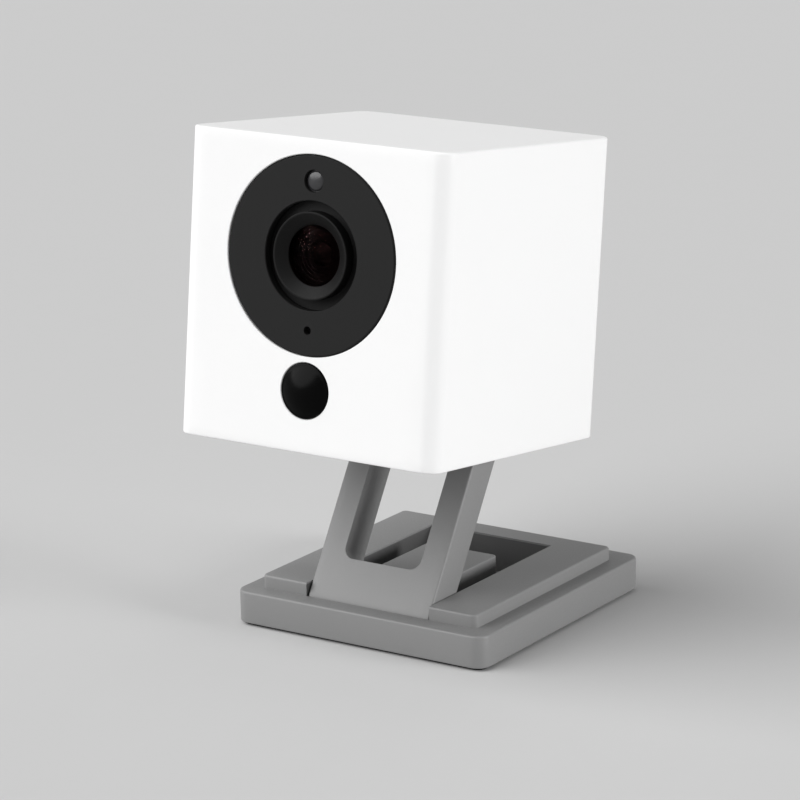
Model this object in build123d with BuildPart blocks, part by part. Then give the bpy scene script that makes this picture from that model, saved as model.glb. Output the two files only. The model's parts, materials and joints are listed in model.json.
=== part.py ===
"""A small indoor security camera: a cube-shaped head on a folding stand.

Frame: millimetres, +Z up, origin at the bottom centre of the base, front towards -Y.
The arm leans back from the base, and the head turns and tilts at the arm's upper end.
"""

from build123d import *
import os
from math import cos, radians, sin

os.makedirs("parts", exist_ok=True)

# ---------------------------------------------------------------- driving dimensions
head_width = 50.0  # across, along X
head_depth = 50.6  # front face to rear face
head_height = 50.5  # rim of the bottom recess to the top
head_corner = 2.75  # radius of the upright corners
top_edge = 0.4  # radius of the top edges
wall = 2.0  # thickness of the housing's walls

base_width = 49.6
base_depth = 51.6
plate_height = 6.1  # table to the top of the plate
frame_step = 2.3  # height of the raised frame above the plate
base_corner = 2.4  # radius of the plate's corners
frame_side_inset = 3.4
frame_front_inset = 3.4
frame_back_inset = 4.5
frame_corner = 1.0
base_edge = 0.5  # softened top edges of the base
pad_thickness = 0.5
pad_inset = 0.9

arm_width = 24.2
arm_thickness = 6.4
arm_length = 32.1  # between the two hinge axes
arm_leg = 4.5  # width of each leg of the U
arm_crossbar = 6.7  # lower hinge axis to the bottom of the opening
arm_opening_corner = 2.0
arm_edge = 0.35
lean_angle = 31.9  # of the arm, back from upright
tilt_angle = 6.7  # of the head, front raised

pin_radius = 1.25
pin_reach = 5.5  # into each cheek of the base
sleeve_wall = 0.85
running_gap = 0.03  # radial, round every turning pin
arm_side_gap = 0.2  # arm to the cheeks of the base
arm_stop_gap = 0.1  # arm to the floor and the front wall of its recess
knuckle_side_gap = 0.1
fold_gap = 0.3  # folded arm to the recess's back wall

island_width = 14.3
island_back = 7.1  # Y of the island's rear face
island_gap = 1.1  # the crossbar's rear edge swings past the island
island_corner = 0.8

magnet_radius = 3.5
magnet_height = 3.0
ballast_width = 7.0
ballast_length = 15.0
ballast_height = 3.4
pocket_spacing = 1.5  # between a magnet and the ballast or the pin

# the swivel under the head
recess_depth = 3.0  # rim to the underside of the bottom cover
cover_thickness = 1.4
cover_gap = 0.05  # covers to the housing
boss_rise = 1.8  # thickening of the bottom cover round the swivel
boss_margin = 1.9
turntable_margin = 2.3  # past the knuckle that hangs under it
turntable_thickness = 1.4
turntable_gap = 0.1
hub_radius = 4.0
washer_radius = 7.0
washer_thickness = 0.6
retainer_radius = 8.0
retainer_thickness = 1.0
hinge_below_rim = 0.3  # upper hinge axis under the head's rim

# the round front plate and the lens
lens_height = 31.8  # above the rim
face_radius = 16.1
face_thickness = 1.2
face_gap = 0.1
face_seat = 1.5  # width of the ledge that the plate is glued to
face_edge = 0.3
groove_radius = 8.8
bezel_radius = 7.1
bezel_lip = 0.4
bezel_proud = 0.3
bezel_flange = 1.0
bezel_flange_thickness = 0.8
cone_depth = 1.0  # of the bezel's mouth, where the lens starts
lens_radius = 4.85
lens_rise = 1.1  # bulge of the front lens
lens_edge = 1.6
lens_bow = 0.2  # sagitta of the profile's arc
lens_gap = 0.1
barrel_radius = 5.6
barrel_bore = 4.2
barrel_length = 11.4
barrel_gap = 1.0  # behind the front lens's rim
inner_lens_depth = 4.0  # behind the barrel's front end
inner_lens_thickness = 2.5

mount_size = 15.0
mount_length = 9.0
mount_overlap = 5.0  # the barrel's length inside the mount
filter_width = 14.0
filter_height = 7.0
filter_thickness = 0.5
filter_pitch = 6.4  # between the filter's two windows, and its travel
filter_gap = 0.15
filter_setback = 1.0  # behind the barrel
sensor_width = 6.4
sensor_height = 5.2
sensor_thickness = 0.9
sensor_board_width = 32.0
sensor_board_height = 28.0
board_thickness = 1.0
board_gap = 7.0  # between the sensor board and the main board
spacer_radius = 1.8
spacer_inset = 0.5  # from the sensor board's edges

window_radius = 1.8
window_offset = 11.95  # light-sensor window above the lens
mic_hole_radius = 0.65
mic_offset = 12.0  # microphone hole under the lens
microphone_width = 3.0
microphone_height = 2.4
microphone_thickness = 1.1
mic_gasket_radius = 1.6
light_sensor_size = 2.0
led_circle = 12.0  # radius that the emitters stand on
led_radius = 1.5
led_body = 1.2
light_board_margin = 0.4  # past the front plate's edge
light_board_bore = 10.2
light_board_thickness = 0.8
light_board_stand = 1.6  # behind the front wall
standoff_radius = 1.2
standoff_inset = 0.6  # its centre inside the light board's edge

dome_height = 10.1  # motion-sensor dome above the rim
dome_radius = 4.5
dome_rise = 1.2
dome_wall = 0.8
dome_gap = 0.1
dome_flange = 0.7
dome_flange_thickness = 0.8
dome_shoulder_radius = 3.24  # a point that the dome's curve passes through
dome_shoulder_rise = 0.66
dome_inner_edge = 0.6  # depth at which the inside of the dome meets its wall
motion_can_radius = 3.4
motion_can_length = 3.6
motion_can_depth = 4.4  # from the front face
motion_can_raise = 0.2  # above the dome's axis
motion_board_width = 14.0
motion_board_height = 8.0
motion_board_raise = 0.6

main_board_width = 45.0
main_board_height = 36.0
main_board_thickness = 1.2
post_radius = 2.2
post_x = 19.8
post_low = 18.8  # height of the lower pair of posts
post_high = 44.0
board_above_posts = 3.0
screw_radius = 1.0
screw_head_radius = 2.0
screw_head_thickness = 1.0
screw_length = 7.0
screw_boss = 3.6  # width of the corner blocks that take the cover's screws

chip_size = 13.0
chip_thickness = 1.2
chip_x = -10.0
chip_z = 25.0
sink_size = 16.0
sink_base = 1.2
fin_height = 3.0
fin_thickness = 1.0
fin_count = 6
shield_width = 14.0
shield_height = 11.0
shield_depth = 2.2
shield_x = 10.0
shield_z = 26.0
cable_thickness = 0.3
cable_width = 10.0
cable_tail = 4.0
antenna_width = 24.0
antenna_depth = 7.0
antenna_y = 12.0
antenna_thickness = 0.3

port_board_height = 11.0
port_board_depth = 20.0
port_board_width = 34.0
usb_width = 14.4
usb_height = 7.0
usb_length = 15.0
usb_x = 9.5
usb_back = 2.0  # block that closes the socket
usb_tongue_width = 12.0
usb_tongue_thickness = 1.8
usb_tongue_setback = 1.5
inlet_width = 7.8
inlet_height = 2.9
inlet_length = 5.6
inlet_x = -9.5
inlet_back = 1.0
inlet_tongue_width = 4.6
inlet_tongue_thickness = 0.7
inlet_tongue_setback = 0.8
port_gap = 0.15
shell_metal = 0.4  # sheet thickness of the sockets
port_recess = 0.3  # sockets behind the rear face

speaker_radius = 9.0
speaker_depth = 4.5
speaker_height = 32.0
speaker_magnet_radius = 5.6
speaker_magnet_depth = 2.0
speaker_gasket_thickness = 0.6
speaker_gasket_width = 1.6
speaker_hole = 0.6
speaker_ring_pitch = 2.0
light_pipe_radius = 1.2
light_pipe_height = 44.0
light_pipe_flange = 0.5
light_pipe_flange_thickness = 1.0
status_led_size = 1.6
status_led_thickness = 1.2

button_radius = 2.0
button_gap = 0.05
button_flange = 0.6
button_reach = 2.0  # above the bottom cover
button_x = 14.0
button_y = 20.0
button_travel = 0.4
switch_size = 4.5
switch_height = 2.6
card_slot_width = 11.4
card_slot_height = 1.2
card_x = -10.9
card_y = -21.0
socket_width = 12.0
socket_depth = 2.0
socket_height = 10.4
socket_roof = 0.5
cover_screw_inset = 3.4  # from the inner faces of the walls

# ---------------------------------------------------------------- derived places
frame_top = plate_height + frame_step
frame_width = base_width - 2 * frame_side_inset
frame_front = -base_depth / 2 + frame_front_inset
frame_back = base_depth / 2 - frame_back_inset
arm_end = arm_thickness / 2
hinge_y = frame_front + arm_stop_gap + arm_end
hinge_z = frame_top - arm_end
recess_floor = hinge_z - arm_end - arm_stop_gap
recess_half = arm_width / 2 + arm_side_gap
recess_back = hinge_y + arm_length + arm_end + fold_gap
opening_half = arm_width / 2 - arm_leg
sleeve_radius = pin_radius + sleeve_wall
pin_half = recess_half + pin_reach

lean = radians(lean_angle)
tilt = radians(tilt_angle)
# folded flat, the head stands centred over the base, so its swivel axis is this far ahead
swivel_ahead = arm_length + hinge_y
upper_y = hinge_y + arm_length * sin(lean)
upper_z = hinge_z + arm_length * cos(lean)
head_y = upper_y - swivel_ahead * cos(tilt) + hinge_below_rim * sin(tilt)
head_z = upper_z + swivel_ahead * sin(tilt) + hinge_below_rim * cos(tilt)

HEAD = Plane(origin=(0, head_y, head_z), x_dir=(1, 0, 0), z_dir=(0, sin(tilt), cos(tilt)))
ARM = Plane(origin=(0, hinge_y, hinge_z), x_dir=(1, 0, 0), z_dir=(0, sin(lean), cos(lean)))

cover_top = recess_depth + cover_thickness
turntable_radius = swivel_ahead + arm_end + turntable_margin
boss_top = cover_top + boss_rise
boss_radius = turntable_radius + boss_margin
turntable_top = recess_depth + turntable_gap + turntable_thickness
pocket_top = turntable_top + turntable_gap
washer_z = boss_top + turntable_gap
retainer_z = washer_z + washer_thickness
inner_half = head_width / 2 - wall
inner_half_depth = head_depth / 2 - wall
screw_x = inner_half - cover_screw_inset
screw_y = inner_half_depth - cover_screw_inset

barrel_front = lens_edge + barrel_gap
mount_front = barrel_front + barrel_length - mount_overlap
sensor_board_depth = mount_front + mount_length
main_board_depth = sensor_board_depth + board_thickness + board_gap
main_board_z = post_high + board_above_posts - main_board_height / 2
rear_inner = head_depth - wall
light_board_depth = wall + light_board_stand
light_board_radius = face_radius + light_board_margin
filter_depth = barrel_front + barrel_length + filter_setback
motion_board_depth = motion_can_depth + motion_can_length
main_board_back = main_board_depth + main_board_thickness
spacer_x = sensor_board_width / 2 - spacer_radius - spacer_inset
spacer_z = sensor_board_height / 2 - spacer_radius - spacer_inset
port_floor = port_board_height + board_thickness
port_mouth = head_depth - port_recess
button_top = cover_top + button_reach
knuckle_half = opening_half - knuckle_side_gap
post_places = [(side * post_x, height) for side in (-1, 1) for height in (post_low, post_high)]
cover_screw_places = [(x * screw_x, y * screw_y) for x in (-1, 1) for y in (-1, 1)]


def head_level(height, x=0.0, y=0.0):
    """Plane across the head at a height above its rim, facing up."""
    return Plane(origin=HEAD.from_local_coords(Vector(x, y, height)), x_dir=HEAD.x_dir, z_dir=HEAD.z_dir)


def head_face(depth, height, x=0.0):
    """Plane parallel to the front face, at a depth behind it, facing forward."""
    place = HEAD.from_local_coords(Vector(x, depth - head_depth / 2, height))
    return Plane(origin=place, x_dir=HEAD.x_dir, z_dir=-HEAD.y_dir)


def head_section(height):
    """Plane level with an axis that runs back from the face: X is radius, Y is depth."""
    return head_level(height, 0, -head_depth / 2)


def depth_axis(height):
    """Axis that runs straight back into the head at a height above its rim."""
    return Axis(HEAD.from_local_coords(Vector(0, -head_depth / 2, height)), HEAD.y_dir)


def across(x, y, z):
    """Plane facing +X, with its X along the object's +Y."""
    return Plane(origin=(x, y, z), x_dir=(0, 1, 0), z_dir=(1, 0, 0))


# ---------------------------------------------------------------- the base
with BuildPart() as base_body:
    with BuildSketch(Plane.XY.offset(pad_thickness)):
        RectangleRounded(base_width, base_depth, base_corner)
    extrude(amount=plate_height - pad_thickness)
    fillet(base_body.faces().sort_by(Axis.Z)[-1].edges(), base_edge)
    with BuildSketch(Plane.XY.offset(plate_height - base_edge)):
        with Locations((0, (frame_front + frame_back) / 2)):
            RectangleRounded(frame_width, frame_back - frame_front, frame_corner)
    extrude(amount=frame_step + base_edge)
    fillet(base_body.faces().sort_by(Axis.Z)[-1].edges(), base_edge)
    # the recess that the folded arm lies in, open to the front above the plate
    with BuildSketch(Plane.XY.offset(recess_floor)):
        with Locations((0, (frame_front + recess_back) / 2)):
            Rectangle(2 * recess_half, recess_back - frame_front)
    extrude(amount=frame_top, mode=Mode.SUBTRACT)
    # slots from below for the ends of the hinge pin
    for side in (-1, 1):
        with BuildSketch(Plane.XY):
            with Locations((side * (recess_half + pin_reach / 2), hinge_y)):
                Rectangle(pin_reach, 2 * pin_radius)
        extrude(amount=hinge_z, mode=Mode.SUBTRACT)
    with BuildSketch(across(-pin_half, hinge_y, hinge_z)):
        Circle(pin_radius)
    extrude(amount=2 * pin_half, mode=Mode.SUBTRACT)
    # pockets from below for the magnets and the ballast
    pocket_x = (recess_half + base_width / 2 - frame_side_inset) / 2
    magnet_front = hinge_y + pin_radius + pocket_spacing + magnet_radius
    ballast_y = magnet_front + magnet_radius + pocket_spacing + ballast_length / 2
    magnet_back = ballast_y + ballast_length / 2 + pocket_spacing + magnet_radius
    magnet_places = [(side * pocket_x, y) for side in (-1, 1) for y in (magnet_front, magnet_back)]
    ballast_places = [(side * pocket_x, ballast_y) for side in (-1, 1)]
    with BuildSketch(Plane.XY):
        with Locations(*magnet_places):
            Circle(magnet_radius)
    extrude(amount=pad_thickness + magnet_height, mode=Mode.SUBTRACT)
    with BuildSketch(Plane.XY):
        with Locations(*ballast_places):
            Rectangle(ballast_width, ballast_length)
    extrude(amount=pad_thickness + ballast_height, mode=Mode.SUBTRACT)
    # the island that fills the folded arm's opening
    island_front = hinge_y + arm_crossbar + island_gap
    with BuildSketch(Plane.XY.offset(recess_floor - arm_stop_gap)):
        with Locations((0, (island_front + island_back) / 2)):
            RectangleRounded(island_width, island_back - island_front, island_corner)
    extrude(amount=frame_top - recess_floor + arm_stop_gap)
base_body.part.label = "base_body"
export_step(base_body.part, "parts/base_body.step")

with BuildPart() as foot_pad:
    with BuildSketch(Plane.XY):
        RectangleRounded(base_width - 2 * pad_inset, base_depth - 2 * pad_inset, base_corner - pad_inset)
    extrude(amount=pad_thickness)
foot_pad.part.label = "foot_pad"
export_step(foot_pad.part, "parts/foot_pad.step")

with BuildPart() as base_magnets:
    with BuildSketch(Plane.XY.offset(pad_thickness)):
        with Locations(*magnet_places):
            Circle(magnet_radius)
    extrude(amount=magnet_height)
base_magnets.part.label = "base_magnets"
export_step(base_magnets.part, "parts/base_magnets.step")

with BuildPart() as ballast_bars:
    with BuildSketch(Plane.XY.offset(pad_thickness)):
        with Locations(*ballast_places):
            Rectangle(ballast_width, ballast_length)
    extrude(amount=ballast_height)
ballast_bars.part.label = "ballast_bars"
export_step(ballast_bars.part, "parts/ballast_bars.step")

with BuildPart() as lower_hinge_pin:
    with BuildSketch(across(-pin_half, hinge_y, hinge_z)):
        Circle(pin_radius)
    extrude(amount=2 * pin_half)
lower_hinge_pin.part.label = "lower_hinge_pin"
export_step(lower_hinge_pin.part, "parts/lower_hinge_pin.step")

# plugs that close the slots under the pin's two ends
with BuildPart() as pin_keepers:
    with BuildSketch(Plane.XY.offset(pad_thickness)):
        with Locations(*[(side * (recess_half + pin_reach / 2), hinge_y) for side in (-1, 1)]):
            Rectangle(pin_reach, 2 * pin_radius)
    extrude(amount=hinge_z - pad_thickness)
    with BuildSketch(across(-pin_half, hinge_y, hinge_z)):
        Circle(pin_radius)
    extrude(amount=2 * pin_half, mode=Mode.SUBTRACT)
pin_keepers.part.label = "pin_keepers"
export_step(pin_keepers.part, "parts/pin_keepers.step")

# ---------------------------------------------------------------- the folding arm
with BuildPart() as arm:
    with BuildSketch(ARM):
        Rectangle(arm_width, arm_thickness)
    extrude(amount=arm_length)
    for end in (0, arm_length):
        axis_place = ARM.from_local_coords(Vector(-arm_width / 2, 0, end))
        with BuildSketch(Plane(origin=axis_place, x_dir=ARM.y_dir, z_dir=(1, 0, 0))):
            Circle(arm_end)
        extrude(amount=arm_width)
    front = ARM.from_local_coords(Vector(0, -arm_thickness, arm_crossbar))
    with BuildSketch(Plane(origin=front, x_dir=(1, 0, 0), z_dir=-ARM.y_dir)):
        with Locations((0, arm_length / 2)):
            Rectangle(2 * opening_half, arm_length)
    extrude(amount=-2 * arm_thickness, mode=Mode.SUBTRACT)
    inner_corners = arm.edges().filter_by(lambda e: e.geom_type == GeomType.LINE)
    inner_corners = inner_corners.filter_by(lambda e: abs(e.tangent_at(0.5).dot(ARM.y_dir)) > 0.99)
    inner_corners = inner_corners.filter_by(
        lambda e: abs(abs(e.center().X) - opening_half) < 0.01
        and ARM.to_local_coords(e.center()).Z < arm_crossbar + 0.01
    )
    fillet(inner_corners, arm_opening_corner)
    sides = arm.faces().filter_by(lambda f: abs(abs(f.center().X) - arm_width / 2) < 0.01)
    fillet(sides.edges(), arm_edge)
    with BuildSketch(across(-arm_width / 2, hinge_y, hinge_z)):
        Circle(sleeve_radius)
    extrude(amount=arm_width, mode=Mode.SUBTRACT)
    with BuildSketch(across(-arm_width / 2, upper_y, upper_z)):
        Circle(pin_radius)
    extrude(amount=arm_width, mode=Mode.SUBTRACT)
arm.part.label = "arm"
export_step(arm.part, "parts/arm.step")

# nylon sleeve in the arm, which turns on the lower pin with the hinge's friction
with BuildPart() as hinge_sleeve:
    with BuildSketch(across(-arm_width / 2, hinge_y, hinge_z)):
        Circle(sleeve_radius)
        Circle(pin_radius + running_gap, mode=Mode.SUBTRACT)
    extrude(amount=arm_width)
hinge_sleeve.part.label = "hinge_sleeve"
export_step(hinge_sleeve.part, "parts/hinge_sleeve.step")

with BuildPart() as upper_hinge_pin:
    with BuildSketch(across(-arm_width / 2, upper_y, upper_z)):
        Circle(pin_radius)
    extrude(amount=arm_width)
upper_hinge_pin.part.label = "upper_hinge_pin"
export_step(upper_hinge_pin.part, "parts/upper_hinge_pin.step")

# ---------------------------------------------------------------- the swivel
with BuildPart() as turntable:
    with BuildSketch(head_level(recess_depth + turntable_gap)):
        Circle(turntable_radius)
    extrude(amount=turntable_thickness)
    with BuildSketch(head_level(turntable_top)):
        Circle(hub_radius)
    extrude(amount=retainer_z - turntable_top)
    with BuildSketch(head_level(-hinge_below_rim, 0, swivel_ahead)):
        Rectangle(2 * knuckle_half, arm_thickness)
    extrude(amount=recess_depth + turntable_gap + hinge_below_rim)
    knuckle_place = HEAD.from_local_coords(Vector(-knuckle_half, swivel_ahead, -hinge_below_rim))
    with BuildSketch(Plane(origin=knuckle_place, x_dir=HEAD.y_dir, z_dir=(1, 0, 0))):
        Circle(arm_end)
    extrude(amount=2 * knuckle_half)
    with BuildSketch(Plane(origin=knuckle_place, x_dir=HEAD.y_dir, z_dir=(1, 0, 0))):
        Circle(pin_radius + running_gap)
    extrude(amount=2 * knuckle_half, mode=Mode.SUBTRACT)
    with BuildSketch(head_level(retainer_z)):
        Circle(screw_radius)
    extrude(amount=turntable_thickness - retainer_z + recess_depth, mode=Mode.SUBTRACT)
turntable.part.label = "turntable"
export_step(turntable.part, "parts/turntable.step")

with BuildPart() as friction_washer:
    with BuildSketch(head_level(washer_z)):
        Circle(washer_radius)
        Circle(hub_radius, mode=Mode.SUBTRACT)
    extrude(amount=washer_thickness)
friction_washer.part.label = "friction_washer"
export_step(friction_washer.part, "parts/friction_washer.step")

with BuildPart() as swivel_retainer:
    with BuildSketch(head_level(retainer_z)):
        Circle(retainer_radius)
        Circle(screw_radius, mode=Mode.SUBTRACT)
    extrude(amount=retainer_thickness)
swivel_retainer.part.label = "swivel_retainer"
export_step(swivel_retainer.part, "parts/swivel_retainer.step")

with BuildPart() as swivel_screw:
    with BuildSketch(head_level(retainer_z + retainer_thickness)):
        Circle(screw_head_radius)
    extrude(amount=screw_head_thickness)
    with BuildSketch(head_level(retainer_z + retainer_thickness)):
        Circle(screw_radius)
    extrude(amount=turntable_thickness - retainer_z + recess_depth - retainer_thickness)
swivel_screw.part.label = "swivel_screw"
export_step(swivel_screw.part, "parts/swivel_screw.step")

# ---------------------------------------------------------------- the head's shells
with BuildPart() as housing:
    with BuildSketch(head_level(0)):
        RectangleRounded(head_width, head_depth, head_corner)
    extrude(amount=head_height)
    top_face = housing.faces().sort_by(Axis(HEAD.origin, HEAD.z_dir))[-1]
    fillet(top_face.edges(), top_edge)
    # hollow, open below and behind
    with BuildSketch(head_level(0)):
        with Locations((0, wall)):
            Rectangle(2 * inner_half, head_depth)
    extrude(amount=head_height - wall, mode=Mode.SUBTRACT)
    # seat and opening of the round front plate
    with BuildSketch(head_face(0, lens_height)):
        Circle(face_radius + face_gap)
    extrude(amount=-face_thickness, mode=Mode.SUBTRACT)
    with BuildSketch(head_face(0, lens_height)):
        Circle(face_radius - face_seat)
    extrude(amount=-wall, mode=Mode.SUBTRACT)
    with BuildSketch(head_face(0, dome_height)):
        Circle(dome_radius + dome_gap)
    extrude(amount=-wall, mode=Mode.SUBTRACT)
    # stand-offs that carry the light board
    with BuildSketch(head_face(wall, lens_height)):
        with PolarLocations(light_board_radius - standoff_inset, 3, start_angle=90):
            Circle(standoff_radius)
        Circle(face_radius - face_seat, mode=Mode.SUBTRACT)
    extrude(amount=-light_board_stand)
    # posts for the main board
    with BuildSketch(head_face(wall, 0)):
        with Locations(*post_places):
            Circle(post_radius)
    extrude(amount=wall - main_board_depth)
    # bosses that take the cover's screws
    with BuildSketch(head_level(cover_top)):
        with Locations(*cover_screw_places):
            Rectangle(2 * cover_screw_inset, 2 * cover_screw_inset)
        Rectangle(2 * screw_x - screw_boss, 2 * inner_half_depth, mode=Mode.SUBTRACT)
        Rectangle(2 * inner_half, 2 * screw_y - screw_boss, mode=Mode.SUBTRACT)
    extrude(amount=screw_length)
    with BuildSketch(head_level(recess_depth)):
        with Locations(*cover_screw_places):
            Circle(screw_radius)
    extrude(amount=screw_length, mode=Mode.SUBTRACT)
    with BuildSketch(head_face(main_board_depth, 0)):
        with Locations(*post_places):
            Circle(screw_radius)
    extrude(amount=screw_length - main_board_thickness, mode=Mode.SUBTRACT)
housing.part.label = "housing"
export_step(housing.part, "parts/housing.step")

with BuildPart() as bottom_cover:
    with BuildSketch(head_level(recess_depth)):
        with Locations((0, -cover_gap / 2)):
            Rectangle(2 * (inner_half - cover_gap), 2 * inner_half_depth - cover_gap)
    extrude(amount=cover_thickness)
    with BuildSketch(head_level(cover_top)):
        Circle(boss_radius)
    extrude(amount=boss_rise)
    with BuildSketch(head_level(recess_depth)):
        Circle(turntable_radius + turntable_gap)
    extrude(amount=pocket_top - recess_depth, mode=Mode.SUBTRACT)
    with BuildSketch(head_level(recess_depth)):
        Circle(hub_radius + running_gap)
    extrude(amount=boss_top, mode=Mode.SUBTRACT)
    with BuildSketch(head_level(recess_depth)):
        with Locations(*cover_screw_places):
            Circle(screw_radius)
        with Locations((button_x, button_y)):
            Circle(button_radius + button_gap)
        with Locations((card_x, card_y)):
            Rectangle(card_slot_width, card_slot_height)
    extrude(amount=cover_thickness, mode=Mode.SUBTRACT)
    with BuildSketch(head_level(recess_depth)):
        with Locations(*cover_screw_places):
            Circle(screw_head_radius)
    extrude(amount=screw_head_thickness, mode=Mode.SUBTRACT)
bottom_cover.part.label = "bottom_cover"
export_step(bottom_cover.part, "parts/bottom_cover.step")

with BuildPart() as cover_screws:
    with BuildSketch(head_level(recess_depth)):
        with Locations(*cover_screw_places):
            Circle(screw_head_radius)
    extrude(amount=screw_head_thickness)
    with BuildSketch(head_level(recess_depth + screw_head_thickness)):
        with Locations(*cover_screw_places):
            Circle(screw_radius)
    extrude(amount=screw_length - screw_head_thickness)
cover_screws.part.label = "cover_screws"
export_step(cover_screws.part, "parts/cover_screws.step")

with BuildPart() as rear_cover:
    with BuildSketch(head_face(head_depth, 0)):
        with Locations((0, (head_height - wall - cover_gap) / 2)):
            Rectangle(2 * (inner_half - cover_gap), head_height - wall - cover_gap)
    extrude(amount=wall)
    with BuildSketch(head_face(head_depth, 0)):
        with Locations((usb_x, port_floor + usb_height / 2)):
            Rectangle(usb_width + 2 * port_gap, usb_height + 2 * port_gap)
        with Locations((inlet_x, port_floor + inlet_height / 2)):
            Rectangle(inlet_width + 2 * port_gap, inlet_height + 2 * port_gap)
        with Locations((0, light_pipe_height)):
            Circle(light_pipe_radius)
        with Locations((0, speaker_height)):
            Circle(speaker_hole)
            for ring in (1, 2, 3):
                with PolarLocations(ring * speaker_ring_pitch, 6 * ring):
                    Circle(speaker_hole)
    extrude(amount=wall, mode=Mode.SUBTRACT)
rear_cover.part.label = "rear_cover"
export_step(rear_cover.part, "parts/rear_cover.step")

# ---------------------------------------------------------------- the round front plate
with BuildPart() as face_plate:
    with BuildSketch(head_face(0, lens_height)):
        Circle(face_radius)
    extrude(amount=-face_thickness)
    front_rim = face_plate.edges().filter_by(GeomType.CIRCLE).sort_by(Axis(HEAD.origin, -HEAD.y_dir))[-1]
    chamfer(front_rim, face_edge)
    with BuildSketch(head_face(0, lens_height)):
        Circle(groove_radius)
        with Locations((0, window_offset)):
            Circle(window_radius)
        with Locations((0, -mic_offset)):
            Circle(mic_hole_radius)
    extrude(amount=-face_thickness, mode=Mode.SUBTRACT)
face_plate.part.label = "face_plate"
export_step(face_plate.part, "parts/face_plate.step")

# ring with a conical mouth that frames the lens inside the groove
with BuildPart() as lens_bezel:
    with BuildSketch(head_section(lens_height)):
        with BuildLine():
            Polyline(
                (bezel_radius - bezel_lip, -bezel_proud),
                (bezel_radius, -bezel_proud),
                (bezel_radius, face_thickness),
                (groove_radius + bezel_flange, face_thickness),
                (groove_radius + bezel_flange, face_thickness + bezel_flange_thickness),
                (lens_radius + lens_gap, face_thickness + bezel_flange_thickness),
                (lens_radius + lens_gap, cone_depth),
                close=True,
            )
        make_face()
    revolve(axis=depth_axis(lens_height))
lens_bezel.part.label = "lens_bezel"
export_step(lens_bezel.part, "parts/lens_bezel.step")

with BuildPart() as front_lens:
    with BuildSketch(head_section(lens_height)):
        with BuildLine():
            SagittaArc((0, cone_depth - lens_rise), (lens_radius, cone_depth), lens_bow)
            Polyline(
                (lens_radius, cone_depth),
                (lens_radius, cone_depth + lens_edge),
                (0, cone_depth + lens_edge),
                (0, cone_depth - lens_rise),
            )
        make_face()
    revolve(axis=depth_axis(lens_height))
front_lens.part.label = "front_lens"
export_step(front_lens.part, "parts/front_lens.step")

with BuildPart() as lens_barrel:
    with BuildSketch(head_face(barrel_front, lens_height)):
        Circle(barrel_radius)
        Circle(barrel_bore, mode=Mode.SUBTRACT)
    extrude(amount=-barrel_length)
lens_barrel.part.label = "lens_barrel"
export_step(lens_barrel.part, "parts/lens_barrel.step")

with BuildPart() as inner_lens:
    with BuildSketch(head_face(barrel_front + inner_lens_depth, lens_height)):
        Circle(barrel_bore)
    extrude(amount=-inner_lens_thickness)
inner_lens.part.label = "inner_lens"
export_step(inner_lens.part, "parts/inner_lens.step")

with BuildPart() as lens_mount:
    with BuildSketch(head_face(mount_front, lens_height)):
        Rectangle(mount_size, mount_size)
        Circle(barrel_radius, mode=Mode.SUBTRACT)
    extrude(amount=-mount_length)
    with BuildSketch(head_face(filter_depth - filter_gap, lens_height)):
        Rectangle(mount_size, filter_height + 2 * filter_gap)
    extrude(amount=-filter_thickness - 2 * filter_gap, mode=Mode.SUBTRACT)
lens_mount.part.label = "lens_mount"
export_step(lens_mount.part, "parts/lens_mount.step")

with BuildPart() as infrared_filter:
    with BuildSketch(head_face(filter_depth, lens_height)):
        with Locations((filter_pitch / 2, 0)):
            Rectangle(filter_width, filter_height)
    extrude(amount=-filter_thickness)
infrared_filter.part.label = "infrared_filter"
export_step(infrared_filter.part, "parts/infrared_filter.step")

with BuildPart() as image_sensor:
    with BuildSketch(head_face(sensor_board_depth, lens_height)):
        Rectangle(sensor_width, sensor_height)
    extrude(amount=sensor_thickness)
image_sensor.part.label = "image_sensor"
export_step(image_sensor.part, "parts/image_sensor.step")

with BuildPart() as sensor_board:
    with BuildSketch(head_face(sensor_board_depth, lens_height)):
        Rectangle(sensor_board_width, sensor_board_height)
    extrude(amount=-board_thickness)
sensor_board.part.label = "sensor_board"
export_step(sensor_board.part, "parts/sensor_board.step")

# ---------------------------------------------------------------- light board behind the front plate
with BuildPart() as light_board:
    with BuildSketch(head_face(light_board_depth, lens_height)):
        Circle(light_board_radius)
        Circle(light_board_bore, mode=Mode.SUBTRACT)
    extrude(amount=-light_board_thickness)
light_board.part.label = "light_board"
export_step(light_board.part, "parts/light_board.step")

with BuildPart() as infrared_leds:
    with BuildSketch(head_face(light_board_depth, lens_height)):
        with PolarLocations(led_circle, 4, start_angle=45):
            Circle(led_radius)
    extrude(amount=led_body)
infrared_leds.part.label = "infrared_leds"
export_step(infrared_leds.part, "parts/infrared_leds.step")

with BuildPart() as light_window:
    with BuildSketch(head_face(0, lens_height + window_offset)):
        Circle(window_radius)
    extrude(amount=-face_thickness)
light_window.part.label = "light_window"
export_step(light_window.part, "parts/light_window.step")

with BuildPart() as light_sensor:
    with BuildSketch(head_face(light_board_depth, lens_height + window_offset)):
        Rectangle(light_sensor_size, light_sensor_size)
    extrude(amount=led_body)
light_sensor.part.label = "light_sensor"
export_step(light_sensor.part, "parts/light_sensor.step")

with BuildPart() as microphone:
    with BuildSketch(head_face(light_board_depth, lens_height - mic_offset)):
        Rectangle(microphone_width, microphone_height)
    extrude(amount=microphone_thickness)
microphone.part.label = "microphone"
export_step(microphone.part, "parts/microphone.step")

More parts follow.
